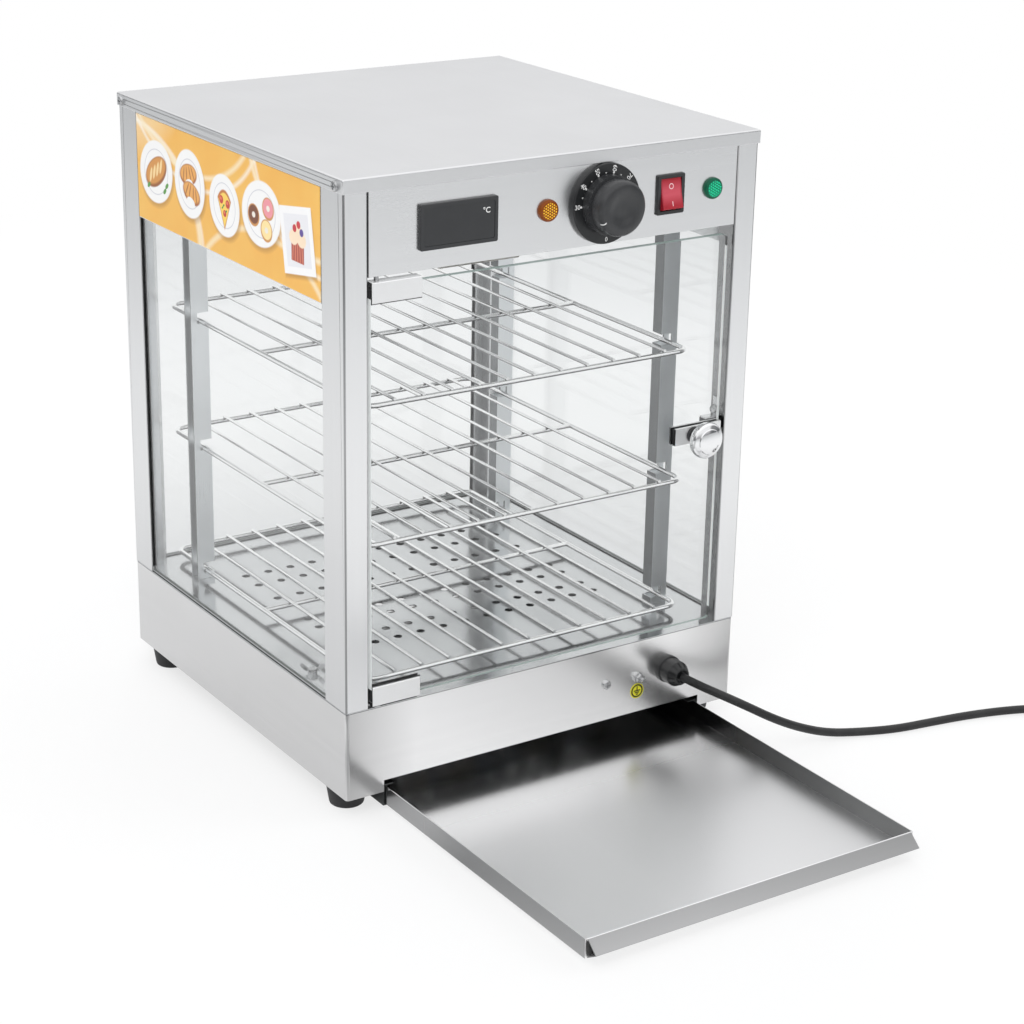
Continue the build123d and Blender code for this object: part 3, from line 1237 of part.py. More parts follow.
def plug_axis():
    """Where the cord leaves the coil's top lane, and the rising way to the plug.

    The plug lies on the rim of its head, so its axis rises from the coil.
    """
    heading, gate = coil_entry()
    height = CORD_DIAMETER / 2 + COIL_SPACING * (COIL_LAYERS - 1)
    reach = COIL_LEAD_OUT + PLUG_RELIEF_LENGTH + PLUG_GRIP_LENGTH + PLUG_SHOULDER
    rim = PLUG_HEAD_DIAMETER / 2
    drop = (height - PLUG_FLOOR_GAP) / math.hypot(reach, rim)
    tilt = math.atan2(rim, reach) - math.asin(drop)
    axis = heading * math.cos(tilt) + Vector(0, 0, math.sin(tilt))
    return Vector(gate.X, gate.Y, height), axis


def cord_coil(middle):
    """The outer shape of the cord's coil about a middle radius, with its two leads."""
    heading, gate = coil_entry()
    radius = CORD_DIAMETER / 2
    reach = COIL_SPACING * (COIL_LANES - 1) / 2
    right = Vector(heading.Y, -heading.X, 0)
    centre = gate + right * (middle + reach)
    width = 2 * (reach + radius + COIL_SLACK)
    height = CORD_DIAMETER + COIL_SPACING * (COIL_LAYERS - 1)
    outline = RectangleRounded(width, height, radius - COIL_SLACK)
    section = Plane.XZ * Pos(middle, height / 2 + COIL_SLACK) * outline
    ring = Pos(centre.X, centre.Y, 0) * revolve(section, axis=Axis.Z, revolution_arc=360)
    lead_in = rod(cord_points()[-1], tuple(gate), radius)
    top, axis = plug_axis()
    return ring + lead_in + rod(tuple(top), tuple(top + axis * COIL_LEAD_OUT), radius)


def mains_plug():
    """A moulded two-pin plug with earth grooves, lying on the floor beside the coil."""
    top, axis = plug_axis()
    relief, grip = PLUG_RELIEF_LENGTH, PLUG_RELIEF_LENGTH + PLUG_GRIP_LENGTH
    shoulder, end = grip + PLUG_SHOULDER, grip + PLUG_HEAD_LENGTH
    taper = PLUG_GRIP_TAPER
    profile = [
        (0, 0), (CORD_DIAMETER / 2 + PLUG_COLLAR, 0), (PLUG_RELIEF_DIAMETER / 2, relief),
        (PLUG_GRIP_DIAMETER / 2 - taper, relief + taper), (PLUG_GRIP_DIAMETER / 2, grip),
        (PLUG_HEAD_DIAMETER / 2, shoulder), (PLUG_HEAD_DIAMETER / 2, end), (0, end),
    ]
    outline = make_face(Polyline(*[(r, 0, h) for r, h in profile], close=True))
    body = revolve(outline, axis=Axis.Z, revolution_arc=360)
    head = PLUG_HEAD_DIAMETER / 2
    half = PLUG_GROOVE_WIDTH / 2
    for side in (-1, 1):
        y = sorted((side * head, side * (head - PLUG_GROOVE_DEPTH)))
        body -= block((-half, half), y, (shoulder, end))
    for side in (-1, 1):
        x = side * PLUG_PIN_SPACING / 2
        pin = rod((x, 0, end), (x, 0, end + PLUG_PIN_LENGTH), PLUG_PIN_DIAMETER / 2)
        body += fillet(pin.edges().sort_by(Axis.Z)[-1], PLUG_PIN_ROUNDING)
    sideways = Vector(-axis.Y, axis.X, 0)
    return Plane(origin=top + axis * COIL_LEAD_OUT, x_dir=sideways, z_dir=axis) * body


# ---------------------------------------------------------------- assembly
def build():
    """Every piece under its node's name."""
    cord, cord_run = power_cord()
    print("cord radii", [round(r, 1) for r in cord_radii(cord_points())])
    print("cord volume", round(cord.volume), "section x length",
          round(math.pi * CORD_DIAMETER ** 2 / 4 * cord_run))
    print("coil middle radius", round(coil_radius(cord_run), 2))
    front, rear = drilled(front_post()), drilled(rear_post())
    right_uprights = uprights_right()
    top, middle, bottom = SHELF_LEVELS
    return {
        "rubber_feet": group(*[rubber_foot(x, y) for x, y in FOOT_CENTRES]),
        "foot_screws": group(*[foot_screw(x, y) for x, y in FOOT_CENTRES]),
        "base_shell": base_shell(),
        "deck_plate": deck_plate(),
        "wing_nuts": both_sides(wing_nut()),
        "earth_stud": earth_stud(),
        "earth_label": earth_label(),
        "cable_gland": cable_gland(),
        "gland_nut": gland_nut(),
        "tray_runners": both_sides(tray_runner()),
        "drip_tray": drip_tray(),
        "post_front_right": front,
        "post_front_left": mirrored(front),
        "post_rear_right": rear,
        "post_rear_left": mirrored(rear),
        "control_panel": control_panel(),
        "ceiling_plate": ceiling_plate(),
        "header_right": side_header(),
        "header_left": mirrored(side_header()),
        "header_back": rear_header(),
        "header_prints": both_sides(header_print()),
        "roof_cover": roof_cover(),
        "case_screws": case_screws(),
        "glass_right": side_pane(),
        "glass_left": mirrored(side_pane()),
        "glass_back": rear_pane(),
        "glass_gaskets": glass_gaskets(),
        "uprights_right": right_uprights,
        "uprights_left": mirrored(right_uprights),
        "shelf_top": wire_shelf(top),
        "shelf_middle": wire_shelf(middle),
        "shelf_bottom": wire_shelf(bottom),
        "door_glass": door_glass(),
        "door_clamp_top": door_clamp(True),
        "door_clamp_bottom": door_clamp(False),
        "door_liners": door_liners(),
        "clamp_screws": clamp_screws(),
        "hinge_pins": hinge_pins(),
        "hinge_washer": hinge_washer(),
        "knob_clip": knob_clip(),
        "door_knob": door_knob(),
        "catch_bracket": catch_bracket(),
        "catch_magnet": catch_magnet(),
        "display_bezel": display_bezel(),
        "display_window": display_window(),
        "amber_lamp": panel_lamp(AMBER_LAMP_X),
        "green_lamp": panel_lamp(GREEN_LAMP_X),
        "dial_scale": dial_scale(),
        "thermostat_knob": thermostat_knob(),
        "thermostat_shaft": thermostat_shaft(),
        "thermostat_body": thermostat_body(),
        "thermostat_bulb": thermostat_bulb(),
        "rocker_housing": rocker_housing(),
        "power_rocker": power_rocker(),
        "heating_element": heating_element(),
        "element_hangers": both_sides(element_hanger()),
        "terminal_block": terminal_block(),
        "power_cord": cord,
        "cord_coil": cord_coil(coil_radius(cord_run)),
        "mains_plug": mains_plug(),
    }


os.makedirs("parts", exist_ok=True)
for name, piece in build().items():
    export_step(piece, f"parts/{name}.step")
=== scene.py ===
"""Looks of a counter-top plate warmer cabinet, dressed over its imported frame."""

from __future__ import annotations

import logging
import math
from dataclasses import dataclass
from enum import Enum
from typing import Any, Callable, Sequence, Union

import bmesh
import bpy
from mathutils import Matrix, Vector

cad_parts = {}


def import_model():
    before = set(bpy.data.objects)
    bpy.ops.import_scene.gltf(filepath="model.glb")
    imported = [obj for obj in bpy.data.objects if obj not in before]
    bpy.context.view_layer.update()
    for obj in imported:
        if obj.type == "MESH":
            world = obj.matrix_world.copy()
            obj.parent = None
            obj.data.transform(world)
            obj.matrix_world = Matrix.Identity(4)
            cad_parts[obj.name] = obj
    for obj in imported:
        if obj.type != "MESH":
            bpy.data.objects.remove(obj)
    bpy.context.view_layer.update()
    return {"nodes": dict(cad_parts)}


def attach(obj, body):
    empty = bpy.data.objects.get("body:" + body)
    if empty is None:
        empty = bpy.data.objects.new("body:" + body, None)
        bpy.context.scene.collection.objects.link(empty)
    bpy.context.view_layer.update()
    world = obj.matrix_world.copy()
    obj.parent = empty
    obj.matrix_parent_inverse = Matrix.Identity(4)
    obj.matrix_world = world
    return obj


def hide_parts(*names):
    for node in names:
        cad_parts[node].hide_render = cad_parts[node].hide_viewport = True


LOG = logging.getLogger("plate_warmer")

Pair = tuple[float, float]
Triple = tuple[float, float, float]
Value = Union["Signal", float, int, Sequence[float]]

MM = 0.001


def tone(red: float, green: float, blue: float) -> Triple:
    """A display colour as the shader's linear colour.

    Args:
        red, green, blue: the display's channels, 0 to 255.

    Returns:
        The linear colour.
    """
    def linear(level: float) -> float:
        """One channel's linear value."""
        share = level / 255
        return share / 12.92 if share <= 0.04045 else ((share + 0.055) / 1.055) ** 2.4
    return linear(red), linear(green), linear(blue)


# -------- shader canvas
class Signal:
    """A socket of a shader tree that takes part in expressions."""

    def __init__(self, canvas: Canvas, socket: bpy.types.NodeSocket) -> None:
        """Keep the tree and the socket."""
        self.canvas, self.socket = canvas, socket

    @property
    def is_vector(self) -> bool:
        """Whether the socket carries three numbers."""
        return self.socket.type in {"VECTOR", "RGBA"}

    def combine(self, operation: str, *others: Value, swapped: bool = False) -> Signal:
        """Add the maths node for an operation on this signal and others.

        Args:
            operation: the Math or Vector Math node's operation.
            others: the other operands.
            swapped: whether this signal comes after the others.

        Returns:
            The node's result.
        """
        operands: list[Value] = [*others, self] if swapped else [self, *others]
        if any(isinstance(o, Signal) and o.is_vector or isinstance(o, (tuple, list)) for o in operands):
            operands = [(o, o, o) if isinstance(o, (int, float)) else o for o in operands]
            return self.canvas.node("ShaderNodeVectorMath", dict(enumerate(operands)), operation=operation)
        return self.canvas.node("ShaderNodeMath", dict(enumerate(operands)), operation=operation)

    def __add__(self, other: Value) -> Signal:
        """Sum."""
        return self.combine("ADD", other)

    __radd__ = __add__

    def __sub__(self, other: Value) -> Signal:
        """Difference."""
        return self.combine("SUBTRACT", other)

    def __rsub__(self, other: Value) -> Signal:
        """Difference, from the right."""
        return self.combine("SUBTRACT", other, swapped=True)

    def __mul__(self, other: Value) -> Signal:
        """Product."""
        return self.combine("MULTIPLY", other)

    __rmul__ = __mul__

    def __truediv__(self, other: Value) -> Signal:
        """Quotient."""
        return self.combine("DIVIDE", other)

    def __rtruediv__(self, other: Value) -> Signal:
        """Quotient, from the right."""
        return self.combine("DIVIDE", other, swapped=True)

    def __abs__(self) -> Signal:
        """Size without its sign."""
        return self.combine("ABSOLUTE")

    def held(self, slope: float, start: float) -> Signal:
        """The signal times a slope plus a start, held between 0 and 1."""
        return self.canvas.node("ShaderNodeMath", {0: self, 1: slope, 2: start},
                                operation="MULTIPLY_ADD", use_clamp=True)

    def above(self, limit: float, soft: float) -> Signal:
        """The mask that rises from 0 to 1 about a limit, over a soft width."""
        return self.held(1 / soft, 0.5 - limit / soft)

    def below(self, limit: float, soft: float) -> Signal:
        """The mask that falls from 1 to 0 about a limit, over a soft width."""
        return self.held(-1 / soft, 0.5 + limit / soft)

    def near(self, centre: float, reach: float, soft: float) -> Signal:
        """The mask that is 1 within a reach of a centre."""
        return abs(self - centre).below(reach, soft)

    def length(self) -> Signal:
        """A vector's length."""
        return self.canvas.node("ShaderNodeVectorMath", {0: self}, "Value", operation="LENGTH")

    def split(self) -> tuple[Signal, Signal, Signal]:
        """A vector's three numbers."""
        parts = self.canvas.raw("ShaderNodeSeparateXYZ", {0: self}, {})
        return tuple(Signal(self.canvas, parts.outputs[i]) for i in range(3))


class Canvas:
    """A shader tree that is written as expressions."""

    def __init__(self, tree: bpy.types.NodeTree) -> None:
        """Empty the tree."""
        self.tree = tree
        tree.nodes.clear()

    def raw(self, kind: str, inputs: dict[Any, Value], settings: dict[str, Any]) -> bpy.types.Node:
        """Add a node.

        Args:
            kind: the node's type.
            inputs: values or signals by socket name or number.
            settings: its properties, set first; "stops" are a ramp's.

        Returns:
            The node.
        """
        node = self.tree.nodes.new(kind)
        for name, value in settings.items():
            if name == "stops":
                ramp = node.color_ramp.elements
                while len(ramp) < len(value):
                    ramp.new(1.0)
                for stop, (place, colour) in zip(ramp, value):
                    stop.position, stop.color = place, (*colour, 1.0)
            else:
                setattr(node, name, value)
        for name, value in inputs.items():
            socket = node.inputs[name]
            if isinstance(value, Signal):
                self.tree.links.new(value.socket, socket)
            else:
                socket.default_value = (*value, 1.0) if socket.type == "RGBA" else value
        return node

    def node(self, kind: str, inputs: dict[Any, Value] | None = None, output: Any = 0,
             **settings: Any) -> Signal:
        """Add a node and give one of its outputs as a signal."""
        return Signal(self, self.raw(kind, inputs or {}, settings).outputs[output])

    def blend(self, factor: Value, first: Value, second: Value) -> Signal:
        """Mix two colours: the first at factor 0, the second at 1."""
        return self.node("ShaderNodeMix", {0: factor, 6: first, 7: second}, 2, data_type="RGBA")

    def between(self, factor: Value, first: Value, second: Value) -> Signal:
        """Mix two numbers: the first at factor 0, the second at 1."""
        return self.node("ShaderNodeMix", {0: factor, 2: first, 3: second}, data_type="FLOAT")

    def either(self, factor: Value, first: Signal, second: Signal) -> Signal:
        """Mix two shaders: the first at factor 0, the second at 1."""
        return self.node("ShaderNodeMixShader", {0: factor, 1: first, 2: second})

    def scale(self, value: Signal, *stops: tuple[float, Triple]) -> Signal:
        """The colour of a ramp at a value."""
        return self.node("ShaderNodeValToRGB", {0: value}, stops=stops)

    def vector(self, x: Value, y: Value, z: Value = 0.0) -> Signal:
        """Three numbers as a vector."""
        return self.node("ShaderNodeCombineXYZ", {0: x, 1: y, 2: z})

    def place(self) -> Signal:
        """The point on the piece, in metres."""
        return self.node("ShaderNodeTexCoord", output="Object")

    def outward(self, face: str = "True Normal") -> Signal:
        """The surface's own direction, on the piece."""
        return self.node("ShaderNodeVectorTransform", {0: self.node("ShaderNodeNewGeometry", output=face)},
                         vector_type="NORMAL", convert_from="WORLD", convert_to="OBJECT")

    def facing(self) -> tuple[Signal, Signal, Signal]:
        """The size of each part of the surface's own direction, on the piece."""
        return abs(self.outward()).split()

    def rays(self, *kinds: str) -> list[Signal]:
        """Whether the ray that sees the surface is of each kind."""
        path = self.raw("ShaderNodeLightPath", {}, {})
        return [Signal(self, path.outputs[f"Is {kind} Ray"]) for kind in kinds]

    def noise(self, at: Value, scale: float, detail: float = 2.0, rough: float = 0.5) -> Signal:
        """Cloudy values about 0.5, finer with the scale, the layers and their strength."""
        return self.node("ShaderNodeTexNoise",
                         {"Vector": at, "Scale": scale, "Detail": detail, "Roughness": rough})

    def bump(self, height: Value, distance: float) -> Signal:
        """A surface direction from heights of 0 to 1 over a distance in metres."""
        return self.node("ShaderNodeBump", {"Height": height, "Distance": distance, "Strength": 1.0})

    def surface(self, **inputs: Value) -> Signal:
        """The main shader, its sockets named with _ for a space."""
        named = {name.replace("_", " "): value for name, value in inputs.items()}
        return self.node("ShaderNodeBsdfPrincipled", named, "BSDF")

    def close(self, shader: Signal, kind: str = "ShaderNodeOutputMaterial") -> None:
        """Lead a shader to the tree's output."""
        self.raw(kind, {"Surface": shader}, {})


# -------- finishes
@dataclass(frozen=True)
class Finish:
    """A named finish that makes its own material."""

    name: str

    def paint(self, canvas: Canvas) -> Signal:
        """The finish's shader."""
        raise NotImplementedError

    def material(self) -> bpy.types.Material:
        """Find or make the material that every piece of the finish shares.

        Returns:
            The material.
        """
        name = f"look_{self.name}"
        found = bpy.data.materials.get(name)
        if found is None:
            found = bpy.data.materials.new(name)
            found.use_nodes = True
            canvas = Canvas(found.node_tree)
            canvas.close(self.paint(canvas))
        return found


class Grain(Enum):
    """The way a sheet's brush marks run."""

    LEVEL = "level"
    UPRIGHT = "upright"
    DEEP = "deep"


@dataclass
class Sheet:
    """A brushed sheet while it is painted: its points, its left and right faces, and its looks."""

    canvas: Canvas
    place: Signal
    on_side: Signal
    colour: Signal
    rough: Signal

    def shade(self, mask: Signal, depth: float) -> None:
        """Paint shade on the sheet by a depth where a mask is 1; a negative depth paints a highlight."""
        self.colour = self.colour * (1 - mask * depth)


@dataclass(frozen=True)
class BrushedSteel(Finish):
    """Stainless sheet with brush marks and cloudy smears, and painted shade on its left and right faces."""

    tint: Triple = (0.82, 0.825, 0.83)
    roughness: float = 0.26
    grain: Grain = Grain.LEVEL
    marks: float = 0.4
    cloud: float = 1.0
    # painted shade: how much darker the left and right faces are drawn
    side_shade: float = 0.0

    def details(self, sheet: Sheet) -> None:
        """Paint shade on the left and right faces."""
        if self.side_shade:
            sheet.shade(sheet.on_side, self.side_shade)

    def paint(self, canvas: Canvas) -> Signal:
        """Brush the sheet along its grain.

        Args:
            canvas: the shader's tree.

        Returns:
            The shader.
        """
        place = canvas.place()
        x, y, z = place.split()
        on_side = canvas.facing()[0].above(0.7, 0.01)
        if self.grain is Grain.UPRIGHT:
            along, across = z, x + y
        elif self.grain is Grain.DEEP:
            along, across = y, x + z
        else:
            along = canvas.between(on_side, x, y)
            across = x + y + z - along
        fine = canvas.noise(canvas.vector(along * 9.0, across * 1900.0), 1.0, 2.0, 0.6)
        broad = canvas.noise(canvas.vector(along * 3.5, across * 210.0), 1.0, 2.0, 0.5)
        smear = canvas.noise(place, 11.0, 4.0, 0.55)
        streak = (fine - 0.5) * (0.16 * self.marks) + (broad - 0.5) * (0.12 * self.marks)
        sheet = Sheet(
            canvas, place, on_side, (1 + streak + (smear - 0.5) * (0.07 * self.cloud)) * self.tint,
            self.roughness + (fine - 0.5) * (0.14 * self.marks) + (smear - 0.5) * (0.12 * self.cloud))
        self.details(sheet)
        return canvas.surface(Base_Color=sheet.colour, Metallic=1.0, Roughness=sheet.rough,
                              Normal=canvas.bump(fine + broad * 0.6, 5e-6 * self.marks))


@dataclass(frozen=True)
class SeamedSteel(BrushedSteel):
    """Brushed sheet of the head, with painted shade lines at a distance in X and Y where two sheets meet, for
    the shadowed gaps.
    """

    seam: float = 0.1649
    side_seam: float = 0.1524
    seam_foot: float = 0.4
    seam_top: float = 0.4893

    def details(self, sheet: Sheet) -> None:
        """Paint shade lines at the seams, then shade the sides.

        Args:
            sheet: the sheet to change.
        """
        x, y, z = sheet.place.split()
        seen = z.above(self.seam_foot, 0.001) * z.below(self.seam_top, 0.001)
        # painted shade: dark lines standing for the shadowed gaps between sheets
        for across, seam, face, depth in (
                (x, self.seam, 1 - sheet.on_side, 0.88), (y, self.side_seam, sheet.on_side, 0.85)):
            line = abs(across).near(seam, 0.0005, 0.0005) * face * seen
            sheet.colour = sheet.canvas.blend(line * depth, sheet.colour, tone(40, 38, 36))
        super().details(sheet)


@dataclass(frozen=True)
class PostSteel(SeamedSteel):
    """Seamed sheet of the folded posts, with painted shade on their inner returns and a painted dark
    reflection on their folds.
    """

    return_reach: float = 0.176
    return_shade: float = 0.4
    fold_shade: float = 0.4

    def details(self, sheet: Sheet) -> None:
        """Paint shade on the sides and the returns, and a dark reflection on the folds.

        Args:
            sheet: the sheet to change.
        """
        super().details(sheet)
        # painted shade on the inner returns, where the door gap is shadowed
        sheet.shade(sheet.on_side * abs(sheet.place.split()[0]).below(self.return_reach, 0.0005),
                    self.return_shade)
        # painted dark reflection along the folded corners
        slant_x, slant_y, _ = sheet.canvas.outward("Normal").split()
        fold = abs(slant_x).combine("MINIMUM", abs(slant_y)).above(0.16, 0.2)
        sheet.shade(fold, self.fold_shade)


@dataclass(frozen=True)
class BaseSteel(BrushedSteel):
    """Brushed sheet of the base, with painted shade at the front's ends, and inside rough with painted shade.
    """

    inside: float = 0.1838
    end: float = 0.158
    end_shade: float = 0.42

    def details(self, sheet: Sheet) -> None:
        """Paint shade on the sides, the front's ends and the inside, and roughen the inside.

        Args:
            sheet: the sheet to change.
        """
        super().details(sheet)
        x, y, _ = sheet.place.split()
        # painted shade on the front's ends
        sheet.shade(abs(x).above(self.end, 0.07) * (1 - sheet.on_side), self.end_shade)
        # painted shade: the inside of the base is drawn near-black, and made rougher
        inner = abs(x).below(self.inside, 0.0002) * abs(y).below(self.inside, 0.0002)
        sheet.colour = sheet.canvas.blend(inner, sheet.colour, (0.045, 0.05, 0.048))
        sheet.rough = sheet.canvas.between(inner, sheet.rough, 0.6)


@dataclass(frozen=True)
class TraySteel(BrushedSteel):
    """Satin sheet of the tray, with the places in X and Y where its looks change.

    It grows rougher to the front, and has painted shade to the right and a painted dark reflection on its
    walls inside, to the rear.
    Its front lip is folded at the nose, with a painted dark reflection of the ground below and a painted
    highlight along the fold.
    """

    haze_at: float = -0.245
    haze: float = 0.17
    nose: float = -0.4524
    lip_shade: float = 0.42
    fade_at: float = 0.05
    fade: float = 0.24
    wall_at: float = -0.32
    wall_shade: float = 0.8

    def details(self, sheet: Sheet) -> None:
        """Paint shade on the sides, the floor, the lip and the walls, a highlight on the fold, and roughen
        the front.

        Args:
            sheet: the sheet to change.
        """
        super().details(sheet)
        x, y, z = sheet.place.split()
        sheet.rough = sheet.rough + y.below(self.haze_at, 0.07) * self.haze
        # painted shade on the floor, growing to the right
        sheet.shade(x.above(self.fade_at, 0.2), self.fade)
        # painted dark reflection of the ground on the front lip
        sheet.shade(y.below(self.nose - 0.0004, 0.0004) * (self.lip_shade + z * 6.0), 1.0)
        # painted highlight along the fold at the nose
        sheet.shade(y.near(self.nose, 0.0004, 0.0006), -0.16)
        # painted dark reflection on the walls' inner faces, to the rear
        inward = (sheet.canvas.outward("Normal").split()[0] * x).below(-0.06, 0.04)
        sheet.shade(inward * y.above(self.wall_at, 0.16), self.wall_shade)


@dataclass(frozen=True)
class PolishedMetal(Finish):
    """Plated or polished metal with faint waves and haze.

    Under and aside say how bright its downward and its left and right faces are beside the
    others, as painted shade, and below a height it may be painted near-black as shade.
    """

    tint: Triple = (0.86, 0.865, 0.87)
    roughness: float = 0.08
    wave: float = 4e-5
    haze: float = 0.08
    under: float = 1.0
    aside: float = 1.0
    shaded_below: float = 0.0
    metallic: float = 1.0

    def paint(self, canvas: Canvas) -> Signal:
        """Polish the metal, and paint shade on the faces that need it.

        Args:
            canvas: the shader's tree.

        Returns:
            The shader.
        """
        place = canvas.place()
        cloud = canvas.noise(place, 24.0, 3.0, 0.5)
        speck = canvas.noise(place, 900.0, 2.0, 0.6)
        tint = (1 + (cloud - 0.5) * 0.08 + (speck - 0.5) * 0.05) * self.tint
        # painted shade on the downward faces
        if self.under < 1:
            down = canvas.outward("Normal").split()[2].below(-0.15, 0.5)
            tint = tint * (1 - down * (1 - self.under))
        # painted shade on the left and right faces
        if self.aside < 1:
            tint = tint * (1 - canvas.facing()[0].above(0.8, 0.1) * (1 - self.aside))
        # painted shade: near-black below a height
        if self.shaded_below:
            tint = canvas.blend(place.split()[2].below(self.shaded_below, 0.0001), tint, (0.03, 0.032, 0.032))
        return canvas.surface(
            Base_Color=tint, Metallic=self.metallic, Normal=canvas.bump(cloud, self.wave),
            Roughness=self.roughness + (cloud - 0.45) * self.haze + speck * 0.02)


@dataclass(frozen=True)
class CastMetal(Finish):
    """Zinc, brass or sintered metal with a fine grain and dull patches."""

    tint: Triple = (0.58, 0.585, 0.59)
    dull: Triple = (0.30, 0.305, 0.305)
    roughness: float = 0.27

    def paint(self, canvas: Canvas) -> Signal:
        """Cast the metal.

        Args:
            canvas: the shader's tree.

        Returns:
            The shader.
        """
        place = canvas.place()
        patch = canvas.noise(place, 160.0, 4.0, 0.6)
        grit = canvas.noise(place, 2600.0, 2.0, 0.6)
        return canvas.surface(
            Base_Color=canvas.blend(patch.above(0.62, 0.3), self.tint, self.dull), Metallic=1.0,
            Roughness=self.roughness + (patch - 0.5) * 0.25, Normal=canvas.bump(grit + patch, 1.2e-5))


@dataclass(frozen=True)
class HeatedSteel(Finish):
    """The element's sheath, browned and blued by its own heat."""

    def paint(self, canvas: Canvas) -> Signal:
        """Temper the sheath.

        Args:
            canvas: the shader's tree.

        Returns:
            The shader.
        """
        place = canvas.place()
        colour = canvas.scale(
            canvas.noise(place, 30.0, 3.0, 0.6), (0.25, (0.16, 0.13, 0.11)), (0.45, (0.24, 0.19, 0.15)),
            (0.6, (0.16, 0.17, 0.24)), (0.8, (0.30, 0.27, 0.24)))
        grit = canvas.noise(place, 1500.0)
        return canvas.surface(Base_Color=colour, Metallic=0.9, Roughness=0.42 + (grit - 0.5) * 0.2,
                              Normal=canvas.bump(grit, 2e-5))


@dataclass(frozen=True)
class ClearGlass(Finish):
    """A clear float glass pane, green at its cut edges and pale at the upright ones, which glow with a
    painted light.

    It faces along the axis of the given number. Dark liners hide its upright edges up to one
    height and from another.
    """

    across: int = 1
    edge: Triple = (0.36, 0.46, 0.43)
    held_below: float = 0.0
    held_above: float = 9.0

    def paint(self, canvas: Canvas) -> Signal:
        """Glaze the pane, with ground edges and a light shadow.

        Args:
            canvas: the shader's tree.

        Returns:
            The shader.
        """
        facing = canvas.facing()
        cut = facing[self.across].below(0.8, 0.1)
        upright = facing[1 - self.across].above(0.8, 0.1)
        place = canvas.place()
        height = place.split()[2]
        smear = canvas.noise(place, 14.0, 5.0, 0.6)
        body = canvas.surface(Base_Color=canvas.blend(smear, (0.938, 0.947, 0.947), (0.948, 0.956, 0.956)),
                              Roughness=0.006 + smear * 0.004, Transmission_Weight=1.0, IOR=1.46)
        held = height.below(self.held_below, 0.0002) + height.above(self.held_above, 0.0002)
        rim = canvas.blend(upright, canvas.blend(smear, self.edge, (0.5, 0.6, 0.57)), (0.80, 0.83, 0.82))
        # painted glow: the upright edges emit a pale light of their own
        ground = canvas.surface(
            Base_Color=canvas.blend(held * upright, rim, (0.02, 0.02, 0.02)), Roughness=0.3,
            Emission_Color=canvas.blend(upright * (1 - held), (0, 0, 0), (0.27, 0.28, 0.28)),
            Emission_Strength=1.0)
        clear = canvas.node("ShaderNodeBsdfTransparent", {0: (0.96, 0.975, 0.97)})
        return canvas.either(canvas.rays("Shadow")[0], canvas.either(cut, body, ground), clear)


@dataclass(frozen=True)
class Moulded(Finish):
    """Moulded plastic or rubber with a fine skin."""

    tint: Triple = (0.022, 0.022, 0.023)
    worn: Triple = (0.05, 0.05, 0.052)
    roughness: float = 0.38
    skin: float = 1.5e-5

    def colour(self, canvas: Canvas, place: Signal) -> Signal:
        """The colour over the surface, before any print."""
        rub = canvas.noise(place, 60.0, 4.0, 0.6)
        return canvas.blend(rub.above(0.6, 0.3) * 0.5, self.tint, self.worn)

    def paint(self, canvas: Canvas) -> Signal:
        """Mould the surface.

        Args:
            canvas: the shader's tree.

        Returns:
            The shader.
        """
        place = canvas.place()
        grit = canvas.noise(place, 1400.0, 2.0, 0.6)
        haze = canvas.noise(place, 35.0, 3.0, 0.5)
        return canvas.surface(
            Base_Color=self.colour(canvas, place), Normal=canvas.bump(grit, self.skin),
            Roughness=self.roughness + (haze - 0.5) * 0.14 + (grit - 0.5) * 0.06)


@dataclass(frozen=True)
class PaneSeal(Moulded):
    """The panes' seal: black in its upright runs, and grey over a thin black line below."""

    foot: float = 0.0948
    line: float = 0.0912
    grey: Triple = (0.46, 0.47, 0.47)

    def colour(self, canvas: Canvas, place: Signal) -> Signal:
        """Lay the grey foot over the black seal.

        Args:
            canvas: the shader's tree.
            place: the point on the seal.

        Returns:
            The colour.
        """
        height = place.split()[2]
        foot = height.below(self.foot, 0.0002) * height.above(self.line, 0.0002)
        return canvas.blend(foot, Moulded.colour(self, canvas, place), self.grey)


@dataclass(frozen=True)
class MarkedKnob(Moulded):
    """The turning knob's plastic, with a painted notch about a centre in X and Z."""

    centre: Pair = (0.0, 0.0)
    radius: float = 0.0026
    face: float = -0.2068

    def colour(self, canvas: Canvas, place: Signal) -> Signal:
        """Paint the white notch on the knob.

        Args:
            canvas: the shader's tree.
            place: the point on the knob.

        Returns:
            The colour.
        """
        x, y, z = place.split()
        across, up = x - self.centre[0], z - self.centre[1]
        notch = canvas.vector(across, up).length().near(self.radius, 0.0004, 0.0003)
        notch = notch * up.below(-0.0008, 0.0008) * y.below(self.face, 0.0004)
        return canvas.blend(notch, Moulded.colour(self, canvas, place), tone(226, 226, 224))


@dataclass(frozen=True)
class Rocker(Moulded):
    """The rocker's clear red plastic, printed O above and I below its centre in X and Z, with a painted
    highlight band and painted shade at its sides.
    """

    centre: Pair = (0.0, 0.0)
    # painted highlight band (top) and painted side shade (edge) on the red
    top: Triple = tone(194, 74, 88)
    edge: Triple = tone(150, 20, 36)
    half_width: float = 0.0088

    def colour(self, canvas: Canvas, place: Signal) -> Signal:
        """Lay a painted highlight band and painted side shade on the red rocker, then print the two marks.

        Args:
            canvas: the shader's tree.
            place: the point on the rocker.

        Returns:
            The colour.
        """
        x, _, z = place.split()
        x, z = x - self.centre[0], z - self.centre[1]
        ring = canvas.vector(x, z - 0.0062).length().near(0.0019, 0.00028, 0.0002)
        bar = abs(x).below(0.0003, 0.0002) * z.near(-0.0068, 0.0018, 0.0003)
        # painted highlight band, then painted shade at the sides
        base = canvas.blend(z.near(0.0015, 0.0058, 0.008), Moulded.colour(self, canvas, place), self.top)
        base = canvas.blend(abs(x).above(self.half_width, 0.002), base, self.edge)
        return canvas.blend(ring + bar, base, tone(240, 206, 208))


